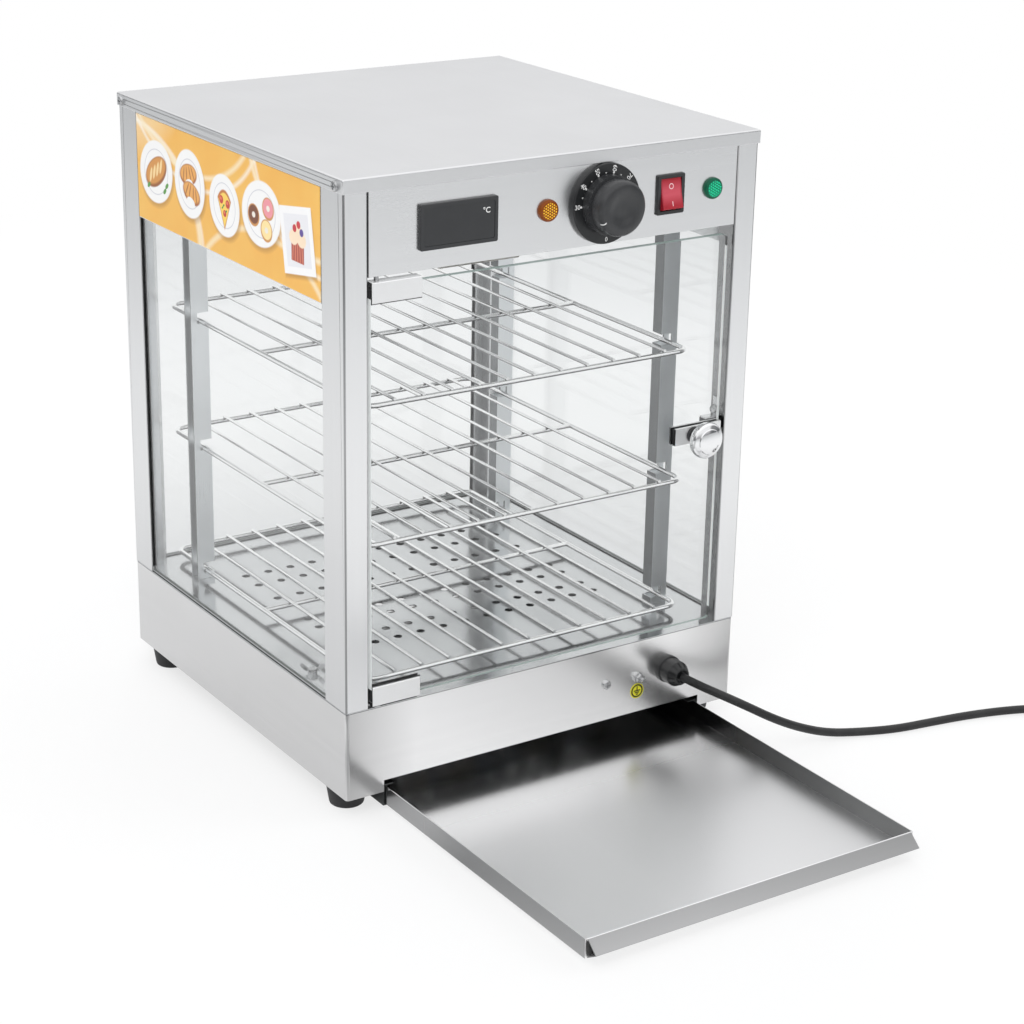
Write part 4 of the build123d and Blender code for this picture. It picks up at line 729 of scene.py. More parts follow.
@dataclass(frozen=True)
class Lens(Finish):
    """A pilot lamp's lens with a honeycomb of small prisms about its centre in X and Z."""

    centre: Pair = (0.0, 0.0)
    glow: Triple = (1.0, 0.5, 0.05)
    deep: Triple = (0.4, 0.12, 0.01)
    pitch: float = 0.0021
    comb: float = 0.0062

    def paint(self, canvas: Canvas) -> Signal:
        """Press the honeycomb, which three waves make, and light it.

        Args:
            canvas: the shader's tree.

        Returns:
            The shader.
        """
        x, _, z = canvas.place().split()
        x, z = x - self.centre[0], z - self.centre[1]
        wave = 2 * math.pi / (self.pitch * math.cos(math.radians(30)))
        first, second, third = (
            (x * (wave * math.cos(turn)) + z * (wave * math.sin(turn))).combine("COSINE")
            for turn in (0.0, math.radians(60), math.radians(120)))
        cells = first + second + third
        within = canvas.vector(x, z).length().below(self.comb, 0.0008)
        lit = cells.above(0.6, 0.7) * within
        colour = canvas.blend(lit, self.deep, self.glow)
        return canvas.surface(
            Base_Color=colour, Roughness=0.34, Specular_IOR_Level=0.25, Coat_Weight=0.12, Coat_Roughness=0.05,
            Emission_Color=colour * lit, Emission_Strength=0.36, Normal=canvas.bump(cells * within, 1e-4))


@dataclass(frozen=True)
class EarthMark(Finish):
    """The yellow disc with the common protective earth symbol, its ring and bars in millimetres."""

    centre: Pair = (0.0, 0.0)
    ring: float = 5.1
    bars: tuple[Pair, ...] = ((0.2, 3.3), (-1.4, 2.2), (-3.0, 1.1))

    def paint(self, canvas: Canvas) -> Signal:
        """Print the symbol in black on yellow.

        Args:
            canvas: the shader's tree.

        Returns:
            The shader.
        """
        place = canvas.place()
        x, _, z = (place * 1000.0).split()
        x, z = x - self.centre[0] * 1000, z - self.centre[1] * 1000
        width = abs(x)
        ink = canvas.vector(x, z).length().near(self.ring, 0.7, 0.2)
        ink = ink + width.below(0.55, 0.2) * z.near(2.1, 1.9, 0.2)
        for level, reach in self.bars:
            ink = ink + width.below(reach, 0.2) * z.near(level, 0.58, 0.2)
        scuff = canvas.noise(place, 300.0, 4.0, 0.6)
        yellow = canvas.blend(scuff, tone(214, 208, 20), tone(236, 230, 52))
        return canvas.surface(
            Base_Color=canvas.blend(ink.below(0.5, 0.6), tone(28, 28, 22), yellow),
            Roughness=0.34 + scuff * 0.1, Normal=canvas.bump(scuff, 1e-5))


@dataclass(frozen=True)
class Paint(Finish):
    """White printing ink, a little worn."""

    def paint(self, canvas: Canvas) -> Signal:
        """Print the ink.

        Args:
            canvas: the shader's tree.

        Returns:
            The shader.
        """
        worn = canvas.noise(canvas.place(), 700.0, 4.0, 0.6)
        colour = (1 + (worn - 0.5) * 0.25) * (0.8, 0.8, 0.79)
        return canvas.surface(Base_Color=colour, Roughness=0.5 + (worn - 0.5) * 0.2)


# -------- printed film
class Artist:
    """Lays flat printed shapes over each other, in millimetres about a movable middle."""

    def __init__(self, canvas: Canvas, u: Signal, v: Signal, ground: Value) -> None:
        """Keep the film's points, their squares and its ground colour.

        Args:
            canvas: the shader's tree.
            u: how far along the film a point is.
            v: how far up it is.
            ground: the colour under all shapes.
        """
        self.canvas, self.colour, self.middle = canvas, ground, (0.0, 0.0)
        self.line = canvas.vector(u, v, 1.0)
        self.squares = canvas.vector(u * u, u * v, v * v)

    def lay(self, mask: Signal, colour: Value, strength: float) -> None:
        """Cover what is there with a colour, by a mask."""
        self.colour = self.canvas.blend(mask * strength if strength < 1 else mask, self.colour, colour)

    def dot(self, points: Signal, numbers: Triple) -> Signal:
        """The sum of a vector's parts, each times its number."""
        return self.canvas.node(
            "ShaderNodeVectorMath", {0: points, 1: numbers}, "Value", operation="DOT_PRODUCT")

    def local(self, at: Pair, size: Pair, turn: float = 0.0) -> tuple[Signal, Signal]:
        """A shape's own two coordinates, with its half size as 1.

        Args:
            at: its centre.
            size: its half width and half height.
            turn: its angle in degrees.

        Returns:
            The coordinates along its width and its height.
        """
        cos, sin = math.cos(math.radians(turn)), math.sin(math.radians(turn))
        u, v, width, height = self.middle[0] + at[0], self.middle[1] + at[1], *size
        return (self.dot(self.line, (cos / width, sin / width, -(u * cos + v * sin) / width)),
                self.dot(self.line, (-sin / height, cos / height, (u * sin - v * cos) / height)))

    def radius(self, at: Pair, size: Pair, turn: float = 0.0) -> Signal:
        """The square of the distance from an oval's centre, 1 on its line.

        Args:
            at: its centre.
            size: its half width and half height.
            turn: its angle in degrees.

        Returns:
            The squared distance.
        """
        cos, sin = math.cos(math.radians(turn)), math.sin(math.radians(turn))
        u, v, p, q = self.middle[0] + at[0], self.middle[1] + at[1], 1 / size[0] ** 2, 1 / size[1] ** 2
        a, b, c = cos * cos * p + sin * sin * q, 2 * sin * cos * (p - q), sin * sin * p + cos * cos * q
        flat = (-2 * a * u - b * v, -2 * c * v - b * u, a * u * u + b * u * v + c * v * v)
        return self.dot(self.squares, (a, b, c)) + self.dot(self.line, flat)

    def oval(self, at: Pair, size: Pair, turn: float, colour: Triple, strength: float = 1.0,
             soft: float = 0.05) -> None:
        """A filled oval."""
        self.lay(self.radius(at, size, turn).below(1.0, soft * 2), colour, strength)

    def ring(self, at: Pair, size: Pair, turn: float, width: float, colour: Triple, strength: float,
             soft: float = 0.03) -> None:
        """An oval line."""
        self.lay(self.radius(at, size, turn).near(1.0, width * 2, soft * 2), colour, strength)

    def slab(self, at: Pair, size: Pair, turn: float, colour: Triple, strength: float = 1.0,
             soft: float = 0.06) -> None:
        """A filled block with square corners."""
        along, up = self.local(at, size, turn)
        self.lay(abs(along).combine("MAXIMUM", abs(up)).below(1.0, soft), colour, strength)

    def plate(self, at: Pair, size: Pair, turn: float) -> None:
        """A white plate with a soft shadow and a grey well.

        Args:
            at: its centre.
            size: its half width and half height.
            turn: its angle in degrees.
        """
        (u, v), (width, height) = at, size
        self.oval((u + 1.5, v - 3), (width + 1, height), turn, tone(150, 96, 30), 0.5, 0.16)
        self.oval(at, size, turn, tone(246, 245, 244))
        self.ring(at, (width * 0.72, height * 0.72), turn, 0.02, tone(198, 198, 206), 0.8)


class Confectioner(Artist):
    """Prints the film's pale curves and its five snacks, each about the middle."""

    def curves(self) -> None:
        """The pale strokes that sweep across the ground."""
        cream, white = tone(250, 232, 196), tone(252, 243, 228)
        self.oval((-150, 42), (60, 26), 14, cream, 0.45, 0.9)
        for at, size, turn, width, strength in (
                ((-190, -60), (150, 96), 8, 0.022, 0.85), ((-184, -66), (150, 102), 10, 0.010, 0.8),
                ((-60, 96), (118, 84), -6, 0.020, 0.8), ((-56, 98), (126, 96), -8, 0.012, 0.9),
                ((60, -98), (120, 88), 4, 0.024, 0.75), ((150, 84), (112, 96), 12, 0.022, 0.85),
                ((158, 80), (112, 104), 14, 0.011, 0.9)):
            self.ring(at, size, turn, width, cream if width > 0.015 else white, strength, 0.035)

    def loaf(self) -> None:
        """A scored loaf on a long plate."""
        self.plate((0, 0), (30, 25), 18)
        self.oval((0, 0), (21, 11), 28, tone(150, 84, 28), soft=0.1)
        self.oval((-0.6, 1), (19.5, 9.4), 28, tone(214, 146, 66), soft=0.2)
        for step in (-11, -4, 3, 10):
            self.oval((step * 0.88, step * 0.47 + 1.2), (1.9, 6.4), -18, tone(246, 216, 156), 0.95, 0.3)
        for leaf in ((-14, -13), (15, -13), (19, -8)):
            self.oval(leaf, (3.4, 1.7), 40, tone(84, 150, 60), soft=0.2)

    def crescents(self) -> None:
        """Two curved rolls on a round plate."""
        self.plate((0, 0), (26, 27), 0)
        for u, v, turn in ((-2, 7, 10), (3, -7, -12)):
            self.oval((u, v), (15, 8.5), turn, tone(170, 96, 34), soft=0.12)
            self.oval((u, v + 0.8), (13.6, 7), turn, tone(232, 168, 84), soft=0.2)
            for step in (-8, -3, 3, 8):
                rise = step * math.tan(math.radians(turn))
                self.oval((u + step, v + rise), (0.8, 7), turn + step * 2.5, tone(160, 88, 30), 0.8, 0.3)
            self.oval((u * 0.5, v - 7.4), (7, 4), turn, tone(246, 245, 244), soft=0.12)

    def slice(self) -> None:
        """A slice of pizza with its crust at the top."""
        self.plate((0, 3), (25, 24), -10)
        for grow, tint in ((1.0, tone(196, 116, 44)), (0.86, tone(250, 210, 92))):
            tip, size = (0, -16 + (1 - grow) * 14), (17 * grow, 31 * grow)
            across, up = self.local(tip, size)
            wedge = (abs(across) - up * 0.86).below(0.0, 0.05)
            self.lay(wedge * self.radius(tip, size).below(1.02, 0.08), tint, 1.0)
        for u, v, size in ((-5, 7, 3.3), (5.5, 5, 3.3), (0.5, -3, 2.7)):
            self.oval((u, v), (size, size), 0, tone(198, 56, 40), soft=0.14)
            self.oval((u - 0.6, v + 0.8), (size * 0.5, size * 0.4), 0, tone(232, 116, 84), soft=0.4)
        for leaf in ((-1, 3), (3, -1), (-3, 1)):
            self.oval(leaf, (1.5, 0.8), 35, tone(70, 138, 56), soft=0.3)

    def ring_cakes(self) -> None:
        """Glazed rings in a group of three on an oval plate."""
        self.plate((0, 0), (31, 25), 12)
        for u, v, glaze in ((-12, -3, tone(122, 66, 34)), (11, 6, tone(238, 150, 160)),
                            (8, -11, tone(252, 226, 160))):
            self.oval((u, v), (9.2, 8.6), 0, tone(206, 142, 70), soft=0.1)
            self.oval((u, v + 0.5), (7.9, 7.2), 0, glaze, soft=0.12)
            self.oval((u, v + 0.3), (2.7, 2.3), 0, tone(240, 232, 220), soft=0.25)

    def cup_cake(self) -> None:
        """A cup cake with berries, on a square plate."""
        self.slab((1.5, -2.5), (24, 25), 9, tone(150, 96, 30), 0.5, 0.12)
        self.slab((0, 0), (24, 25), 9, tone(247, 246, 246), soft=0.03)
        self.slab((0, 0), (18.5, 19.5), 9, tone(226, 226, 232), 0.6, 0.04)
        self.slab((0, -8.5), (9.5, 7.5), 0, tone(176, 76, 60))
        for step in (-7, -3.5, 0, 3.5, 7):
            self.slab((step, -8.5), (0.6, 7.4), step * 0.9, tone(226, 140, 110), 0.8, 0.3)
        for u, v, size in ((-6, 1.5, 6.6), (6, 1.5, 6.6), (0, 5.5, 8)):
            self.oval((u, v), (size, size * 0.86), 0, tone(250, 226, 196), soft=0.16)
        for u, v, tint in ((-4.5, 8.5, tone(198, 40, 56)), (1.5, 12, tone(206, 48, 60)),
                           (6, 7, tone(88, 66, 150))):
            self.oval((u, v), (2.9, 2.9), 0, tint, soft=0.2)


@dataclass(frozen=True)
class PrintedFilm(Finish):
    """The header's printed film: pale curves and plates of snacks on orange."""

    height: float = 0.446

    def paint(self, canvas: Canvas) -> Signal:
        """Print the ground, the curves and five snacks in a row.

        Args:
            canvas: the shader's tree.

        Returns:
            The shader.
        """
        place = canvas.place()
        x, y, z = place.split()
        cloud = canvas.noise(place, 22.0, 3.0, 0.5)
        orange = canvas.blend(cloud, tone(240, 172, 62), tone(244, 196, 98))
        art = Confectioner(canvas, y * x.combine("SIGN") * 1000.0, (z - self.height) * 1000.0, orange)
        for middle, motif in (((0, 0), art.curves), ((-117, 1), art.loaf), ((-57, 3), art.crescents),
                              ((2, -5), art.slice), ((62, 4), art.ring_cakes), ((118, -4), art.cup_cake)):
            art.middle = middle
            motif()
        return canvas.surface(Base_Color=art.colour, Roughness=0.36 + (cloud - 0.5) * 0.1,
                              Normal=canvas.bump(canvas.noise(place, 1800.0), 6e-6))


# -------- the finishes in use
PANEL_Z = 0.4585
DIAL_CENTRE = (0.039, PANEL_Z)
NOTCH = (DIAL_CENTRE[0] - 0.0186, DIAL_CENTRE[1] - 0.0072)

CASE = SeamedSteel("case_brushed")
# painted shade on the posts' outer left and right faces
POST = PostSteel("post_brushed", grain=Grain.UPRIGHT, roughness=0.24, side_shade=0.1)
# painted shade on the base's left and right faces
BASE = BaseSteel("base_brushed", tint=(0.95, 0.948, 0.945), roughness=0.22, side_shade=0.2)
ROOF = BrushedSteel("roof_brushed", tint=(0.80, 0.805, 0.81), grain=Grain.DEEP, roughness=0.34, marks=0.15)
# painted shade on the tray's left and right faces
TRAY = TraySteel("tray_satin", tint=(0.915, 0.918, 0.92), grain=Grain.DEEP, roughness=0.2, marks=0.04,
                 side_shade=0.5, cloud=0.15)
# painted shade: near-black steel for the hangers and runners inside the dark base
SHADED_DULL = BrushedSteel("shaded_dull_sheet", tint=(0.10, 0.105, 0.105), roughness=0.5, marks=0.6)
# painted shade on the uprights' left and right faces
UPRIGHT = BrushedSteel("upright_dull", tint=(0.80, 0.825, 0.84), grain=Grain.UPRIGHT, roughness=0.3,
                       side_shade=0.7)
# painted shade: the deck is near-black below its top
DECK = PolishedMetal("deck_bright", tint=(0.64, 0.652, 0.66), roughness=0.13, haze=0.1, shaded_below=0.0899)
# painted shade on the wires' undersides
WIRE = PolishedMetal("wire_chrome", tint=(0.98, 0.98, 0.98), roughness=0.14, wave=1e-5, haze=0.05, under=0.14)
CHROME = PolishedMetal("bright_chrome", roughness=0.09, wave=1e-5, haze=0.04)
# painted shade on the clamps' undersides and left and right faces
CLAMP = PolishedMetal("clamp_bright", tint=(0.93, 0.932, 0.935), roughness=0.2, wave=1e-5, haze=0.1,
                      under=0.06, aside=0.05, metallic=0.4)
ZINC = CastMetal("zinc_plate")
BULB = CastMetal("bulb_metal", tint=(0.60, 0.58, 0.55), dull=(0.36, 0.34, 0.31), roughness=0.32)
MAGNET = CastMetal("magnet_ferrite", tint=(0.10, 0.10, 0.105), dull=(0.05, 0.05, 0.055), roughness=0.45)
SHEATH = HeatedSteel("element_sheath")
FRONT_GLASS = ClearGlass("door_pane", held_below=0.1050, held_above=0.4107)
SIDE_GLASS = ClearGlass("side_pane", across=0)
RUBBER = Moulded("feet_rubber", tint=(0.016, 0.016, 0.017), worn=(0.035, 0.035, 0.036), roughness=0.55)
SEAL = PaneSeal("seal_rubber", tint=(0.03, 0.03, 0.031), worn=(0.06, 0.06, 0.06), roughness=0.5)
LINER = Moulded("liner_rubber", worn=(0.05, 0.05, 0.05), roughness=0.45)
FLEX = Moulded("flex_sheath", tint=(0.012, 0.012, 0.0125), worn=(0.03, 0.03, 0.031), roughness=0.42,
               skin=2e-5)
GLAND = Moulded("gland_nylon", tint=(0.010, 0.0105, 0.011), worn=(0.022, 0.0225, 0.023), roughness=0.24,
                skin=4e-6)
BLACK = Moulded("black_moulding", tint=(0.020, 0.021, 0.022), roughness=0.33)
SCALE = Moulded("dial_black", tint=(0.012, 0.013, 0.014), worn=(0.022, 0.023, 0.024), roughness=0.34)
KNOB = MarkedKnob("knob_black", tint=(0.030, 0.031, 0.033), worn=(0.05, 0.051, 0.053), roughness=0.29,
                  centre=NOTCH)
BEZEL = Moulded("bezel_black", tint=(0.026, 0.027, 0.029), worn=(0.034, 0.035, 0.037), roughness=0.12,
                skin=1e-6)
SCREEN = Moulded("display_gloss", tint=(0.024, 0.025, 0.027), worn=(0.03, 0.031, 0.033), roughness=0.09,
                 skin=1e-6)
ROCKER = Rocker("rocker_red", tint=tone(160, 20, 37), worn=tone(174, 36, 53), roughness=0.34, skin=3e-6,
                centre=(0.1005, PANEL_Z))
AMBER = Lens("amber_lens", centre=(-0.012, PANEL_Z), glow=tone(255, 196, 44), deep=tone(128, 62, 2))
GREEN = Lens("green_lens", centre=(0.1414, PANEL_Z), glow=tone(0, 246, 180), deep=tone(0, 84, 60))
LABEL = EarthMark("earth_label", centre=(0.0882, 0.0456))
FILM = PrintedFilm("printed_film")
CERAMIC = Moulded("ceramic_white", tint=(0.72, 0.70, 0.66), worn=(0.60, 0.57, 0.52), roughness=0.4)
INK = Paint("white_ink")


# -------- modelling bench
class Bench:
    """Modelling by operators, with everything deselected first."""

    @staticmethod
    def clear() -> None:
        """Deselect every object."""
        bpy.ops.object.select_all(action="DESELECT")

    @staticmethod
    def pick(*pieces: bpy.types.Object) -> None:
        """Select some objects and make the first one active.

        Args:
            pieces: the objects.
        """
        Bench.clear()
        for piece in pieces:
            piece.select_set(True)
        bpy.context.view_layer.objects.active = pieces[0]

    @staticmethod
    def settle() -> bpy.types.Object:
        """Apply the active object's place, turn and size, and give it back."""
        bpy.ops.object.transform_apply(location=True, rotation=True, scale=True)
        return bpy.context.active_object

    @staticmethod
    def mode(name: str) -> None:
        """Go to edit or object mode."""
        bpy.ops.object.mode_set(mode=name)

    @staticmethod
    def smooth(degrees: float) -> None:
        """Go to object mode and smooth the edges that bend less than an angle."""
        Bench.mode("OBJECT")
        bpy.ops.object.shade_smooth_by_angle(angle=math.radians(degrees))

    @staticmethod
    def choose(piece: bpy.types.Object, test: Callable[[bmesh.types.BMFace], bool]) -> None:
        """Select the faces that pass a test, in edit mode.

        Args:
            piece: the object being edited.
            test: says whether a face is chosen.
        """
        bpy.ops.mesh.select_mode(type="FACE")
        bpy.ops.mesh.select_all(action="DESELECT")
        mesh = bmesh.from_edit_mesh(piece.data)
        for face in mesh.faces:
            face.select_set(bool(test(face)))
        mesh.select_flush(True)
        bmesh.update_edit_mesh(piece.data)

    @staticmethod
    def move(forward: float) -> None:
        """Draw the chosen faces out along -Y."""
        bpy.ops.mesh.extrude_region_move(TRANSFORM_OT_translate={"value": (0, -forward, 0)})

    @staticmethod
    def finish(piece: bpy.types.Object, name: str, body: str, slot: str, finish: Finish) -> None:
        """Apply a piece's place, name it, paint it and let it ride.

        Args:
            piece: the finished mesh object.
            name: its name.
            body: the body that it rides on.
            slot: not used.
            finish: its finish.
        """
        Bench.pick(piece)
        Bench.settle()
        piece.name = piece.data.name = name
        piece.data.materials.clear()
        piece.data.materials.append(finish.material())
        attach(piece, body)
        LOG.info("built %s", name)

    @staticmethod
    def lettering(words: str, height: float, at: Triple, turn: float = 0.0,
                  bold: float = 0.05 * MM) -> bpy.types.Object:
        """Raised ink lettering on a face that looks along -Y.

        Args:
            words: what is printed.
            height: the letters' height.
            at: the middle of the words, on the face.
            turn: the angle that the words turn by, against the clock.
            bold: how much their strokes grow.

        Returns:
            The lettering as a mesh.
        """
        Bench.clear()
        bpy.ops.object.text_add(location=(0, 0, 0))
        text = bpy.context.active_object.data
        text.body, text.size = words, height * 1.4
        text.align_x, text.align_y = "CENTER", "CENTER"
        text.extrude, text.offset, text.resolution_u = 0.02 * MM, bold, 4
        bpy.ops.object.convert(target="MESH")
        upright = Matrix.Rotation(math.pi / 2, 4, "X")
        turned = Matrix.Rotation(turn, 4, Vector((0, -1, 0)))
        bpy.context.active_object.matrix_world = Matrix.Translation(at) @ turned @ upright
        return Bench.settle()

    @staticmethod
    def drum(centre: Sequence[float], radius: float, depth: float, sides: int) -> bpy.types.Object:
        """A cylinder whose axis runs along Y, with its place in its mesh.

        Args:
            centre: its middle.
            radius: its radius.
            depth: its length.
            sides: how many faces it has round.

        Returns:
            The cylinder.
        """
        Bench.clear()
        bpy.ops.mesh.primitive_cylinder_add(
            vertices=sides, radius=radius, depth=depth, location=centre, rotation=(math.pi / 2, 0, 0))
        return Bench.settle()

    @staticmethod
    def turned(start: Triple, profile: Sequence[Pair], sides: int, bend: float = 30.0) -> bpy.types.Object:
        """A round piece whose axis runs along -Y, drawn out ring by ring.

        Args:
            start: the middle of its rear face.
            profile: radius and distance pairs in millimetres, from the rear.
            sides: how many faces it has round.
            bend: the angle in degrees under which its edges look smooth.

        Returns:
            The piece.
        """
        radius, reach = profile[1]
        piece = Bench.drum((start[0], start[1] - reach / 2 * MM, start[2]), radius * MM, reach * MM, sides)
        Bench.mode("EDIT")
        for next_radius, next_reach in profile[2:]:
            Bench.choose(piece, lambda face: face.normal.y < -0.9 and len(face.verts) == sides)
            Bench.move((next_reach - reach) * MM)
            size = next_radius / radius
            bpy.ops.transform.resize(value=(size, 1, size), center_override=start)
            radius, reach = next_radius, next_reach
        Bench.smooth(bend)
        return piece

    @staticmethod
    def join(*pieces: bpy.types.Object) -> bpy.types.Object:
        """Join several meshes into the first.

        Args:
            pieces: the meshes.

        Returns:
            The first one, with all in it.
        """
        Bench.pick(*pieces)
        bpy.ops.object.join()
        return pieces[0]


# -------- studio
@dataclass
class Studio:
    """The camera, the pale floor, the soft lights and the dark flags that the steel mirrors.

    A lamp has its name, place, target, size and power, a flag its way in X and Y and its width.
    """

    eye: Triple = (-0.99937, -1.62171, 0.87168)
    azimuth: float = -33.772
    elevation: float = 20.4816
    roll: float = 1.1435
    lens: float = 84.717
    floor_tone: float = 0.95
    under: float = 0.132
    lamps: tuple[tuple[str, Triple, Triple, float, float], ...] = (
        ("key_light", (-1.5, -1.7, 2.3), (0.0, -0.1, 0.25), 1.5, 26.0),
        ("fill_light", (2.1, -1.3, 1.5), (0.0, 0.0, 0.25), 1.4, 10.0),
        ("back_light", (0.4, 2.0, 1.9), (0.0, 0.0, 0.3), 1.6, 16.0))
    flags: tuple[Triple, ...] = ((0.88, -0.475, 0.20), (-0.96, -0.28, 0.16), (-0.55, 0.84, 0.10))

    def camera(self) -> None:
        """Place the camera by its direction, and make it the scene's."""
        lens = bpy.data.cameras.new("camera")
        lens.lens, lens.sensor_width, lens.clip_start, lens.clip_end = self.lens, 36.0, 0.02, 60.0
        camera = bpy.data.objects.new("camera", lens)
        bpy.context.scene.collection.objects.link(camera)
        turns = ((self.azimuth, "Z"), (90 - self.elevation, "X"), (self.roll, "Z"))
        place = Matrix.Translation(self.eye)
        for degrees, axis in turns:
            place = place @ Matrix.Rotation(math.radians(degrees), 4, axis)
        camera.matrix_world = place
        bpy.context.scene.camera = camera

    def cloth(self, canvas: Canvas) -> Signal:
        """Lay the floor's cloth, with a painted shadow under the case, and what the steel mirrors of it, with
        painted shade near the case and a painted dark patch.

        Args:
            canvas: the shader's tree.

        Returns:
            The shader.
        """
        camera, glossy, through = canvas.rays("Camera", "Glossy", "Transmission")
        place = canvas.place()
        x, y, _ = place.split()
        reach = place.length()
        # painted shadow: the floor under the case is near-black and unlit
        open_floor = (abs(x) - 0.010).combine("MAXIMUM", abs(y)).above(self.under, 0.02)
        toward = ((x * -0.70 - y * 0.71) / reach).above(0.93, 0.06) * reach.above(0.3, 0.05)
        # painted shade: the mirrored floor grows darker near the case
        grade = canvas.scale(
            reach / 2.6, (0.0, (0.68, 0.68, 0.69)), (0.16, (0.74, 0.74, 0.75)), (0.28, (1.0, 1.0, 1.0)),
            (0.45, (0.95, 0.95, 0.96)), (0.62, (0.74, 0.75, 0.76)), (1.0, (0.5, 0.51, 0.52)))
        # painted dark reflection: a dark patch on the mirrored floor in one direction
        grade = canvas.blend(toward * 0.75, grade, (0.12, 0.125, 0.13))
        cloth = canvas.node("ShaderNodeBsdfDiffuse", {
            0: canvas.blend(open_floor, (0.03,) * 3, (self.floor_tone,) * 3)})
        seen = canvas.node("ShaderNodeEmission", {0: (1.0, 1.0, 1.0), 1: 1.0})
        mirrored = canvas.node("ShaderNodeEmission", {0: grade, 1: 1.0})
        clear = (camera + through).combine("MINIMUM", 1.0) * (0.72 + reach.above(1.2, 1.2) * 0.28)
        lit = canvas.either(clear * open_floor, cloth, seen)
        return canvas.either(glossy * open_floor * 0.6, lit, mirrored)

    def floor(self) -> None:
        """The pale floor, which keeps the soft shadow."""
        Bench.clear()
        bpy.ops.mesh.primitive_circle_add(vertices=96, radius=14.0, fill_type="NGON", location=(0, 0, 0))
        floor = bpy.context.active_object
        floor.name = "floor"
        material = bpy.data.materials.new("floor_pale")
        material.use_nodes = True
        canvas = Canvas(material.node_tree)
        canvas.close(self.cloth(canvas))
        floor.data.materials.append(material)

    def world(self) -> None:
        """The white surroundings, graded softly for what mirrors them."""
        world = bpy.data.worlds.new("surroundings")
        bpy.context.scene.world = world
        world.use_nodes = True
        canvas = Canvas(world.node_tree)
        camera, through, glossy = canvas.rays("Camera", "Transmission", "Glossy")
        x, y, z = canvas.node("ShaderNodeTexCoord", output="Generated").split()
        grade = canvas.scale(
            z, (0.0, (0.30, 0.30, 0.31)), (0.10, (0.55, 0.55, 0.56)), (0.27, (0.96, 0.96, 0.97)),
            (0.5, (0.97, 0.97, 0.98)), (0.9, (0.96, 0.96, 0.97)))
        for ahead, aside, width in self.flags:
            flag = (x * ahead + y * aside).above(0.98 - width * 0.5, 0.06) * z.below(0.72, 0.1)
            grade = canvas.blend(flag * 0.8, grade, (0.08, 0.085, 0.09))
        light, mirrored, seen = (
            canvas.node("ShaderNodeBackground", {0: colour, 1: strength}) for colour, strength in (
                ((0.80, 0.81, 0.82), 1.0), (grade, 1 + z.above(0.6, 0.2) * 0.2), ((1.0, 1.0, 1.0), 1.0)))
        unseen = canvas.either(glossy, light, mirrored)
        clear = (camera + through).combine("MINIMUM", 1.0)
        canvas.close(canvas.either(clear, unseen, seen), "ShaderNodeOutputWorld")

    def lights(self) -> None:
        """The soft boxes, which no mirror shows."""
        for name, place, target, size, power in self.lamps:
            light = bpy.data.lights.new(name, "AREA")
            light.shape, light.size, light.energy = "SQUARE", size, power
            lamp = bpy.data.objects.new(name, light)
            lamp.visible_glossy = lamp.visible_camera = lamp.visible_transmission = False
            bpy.context.scene.collection.objects.link(lamp)
            aim = (Vector(target) - Vector(place)).to_track_quat("-Z", "Y").to_matrix().to_4x4()
            lamp.matrix_world = Matrix.Translation(place) @ aim

    def build(self) -> None:
        """Make the whole studio."""
        self.camera()
        self.floor()
        self.world()
        self.lights()
        bpy.context.scene.view_settings.view_transform = "Standard"
        LOG.info("studio ready")


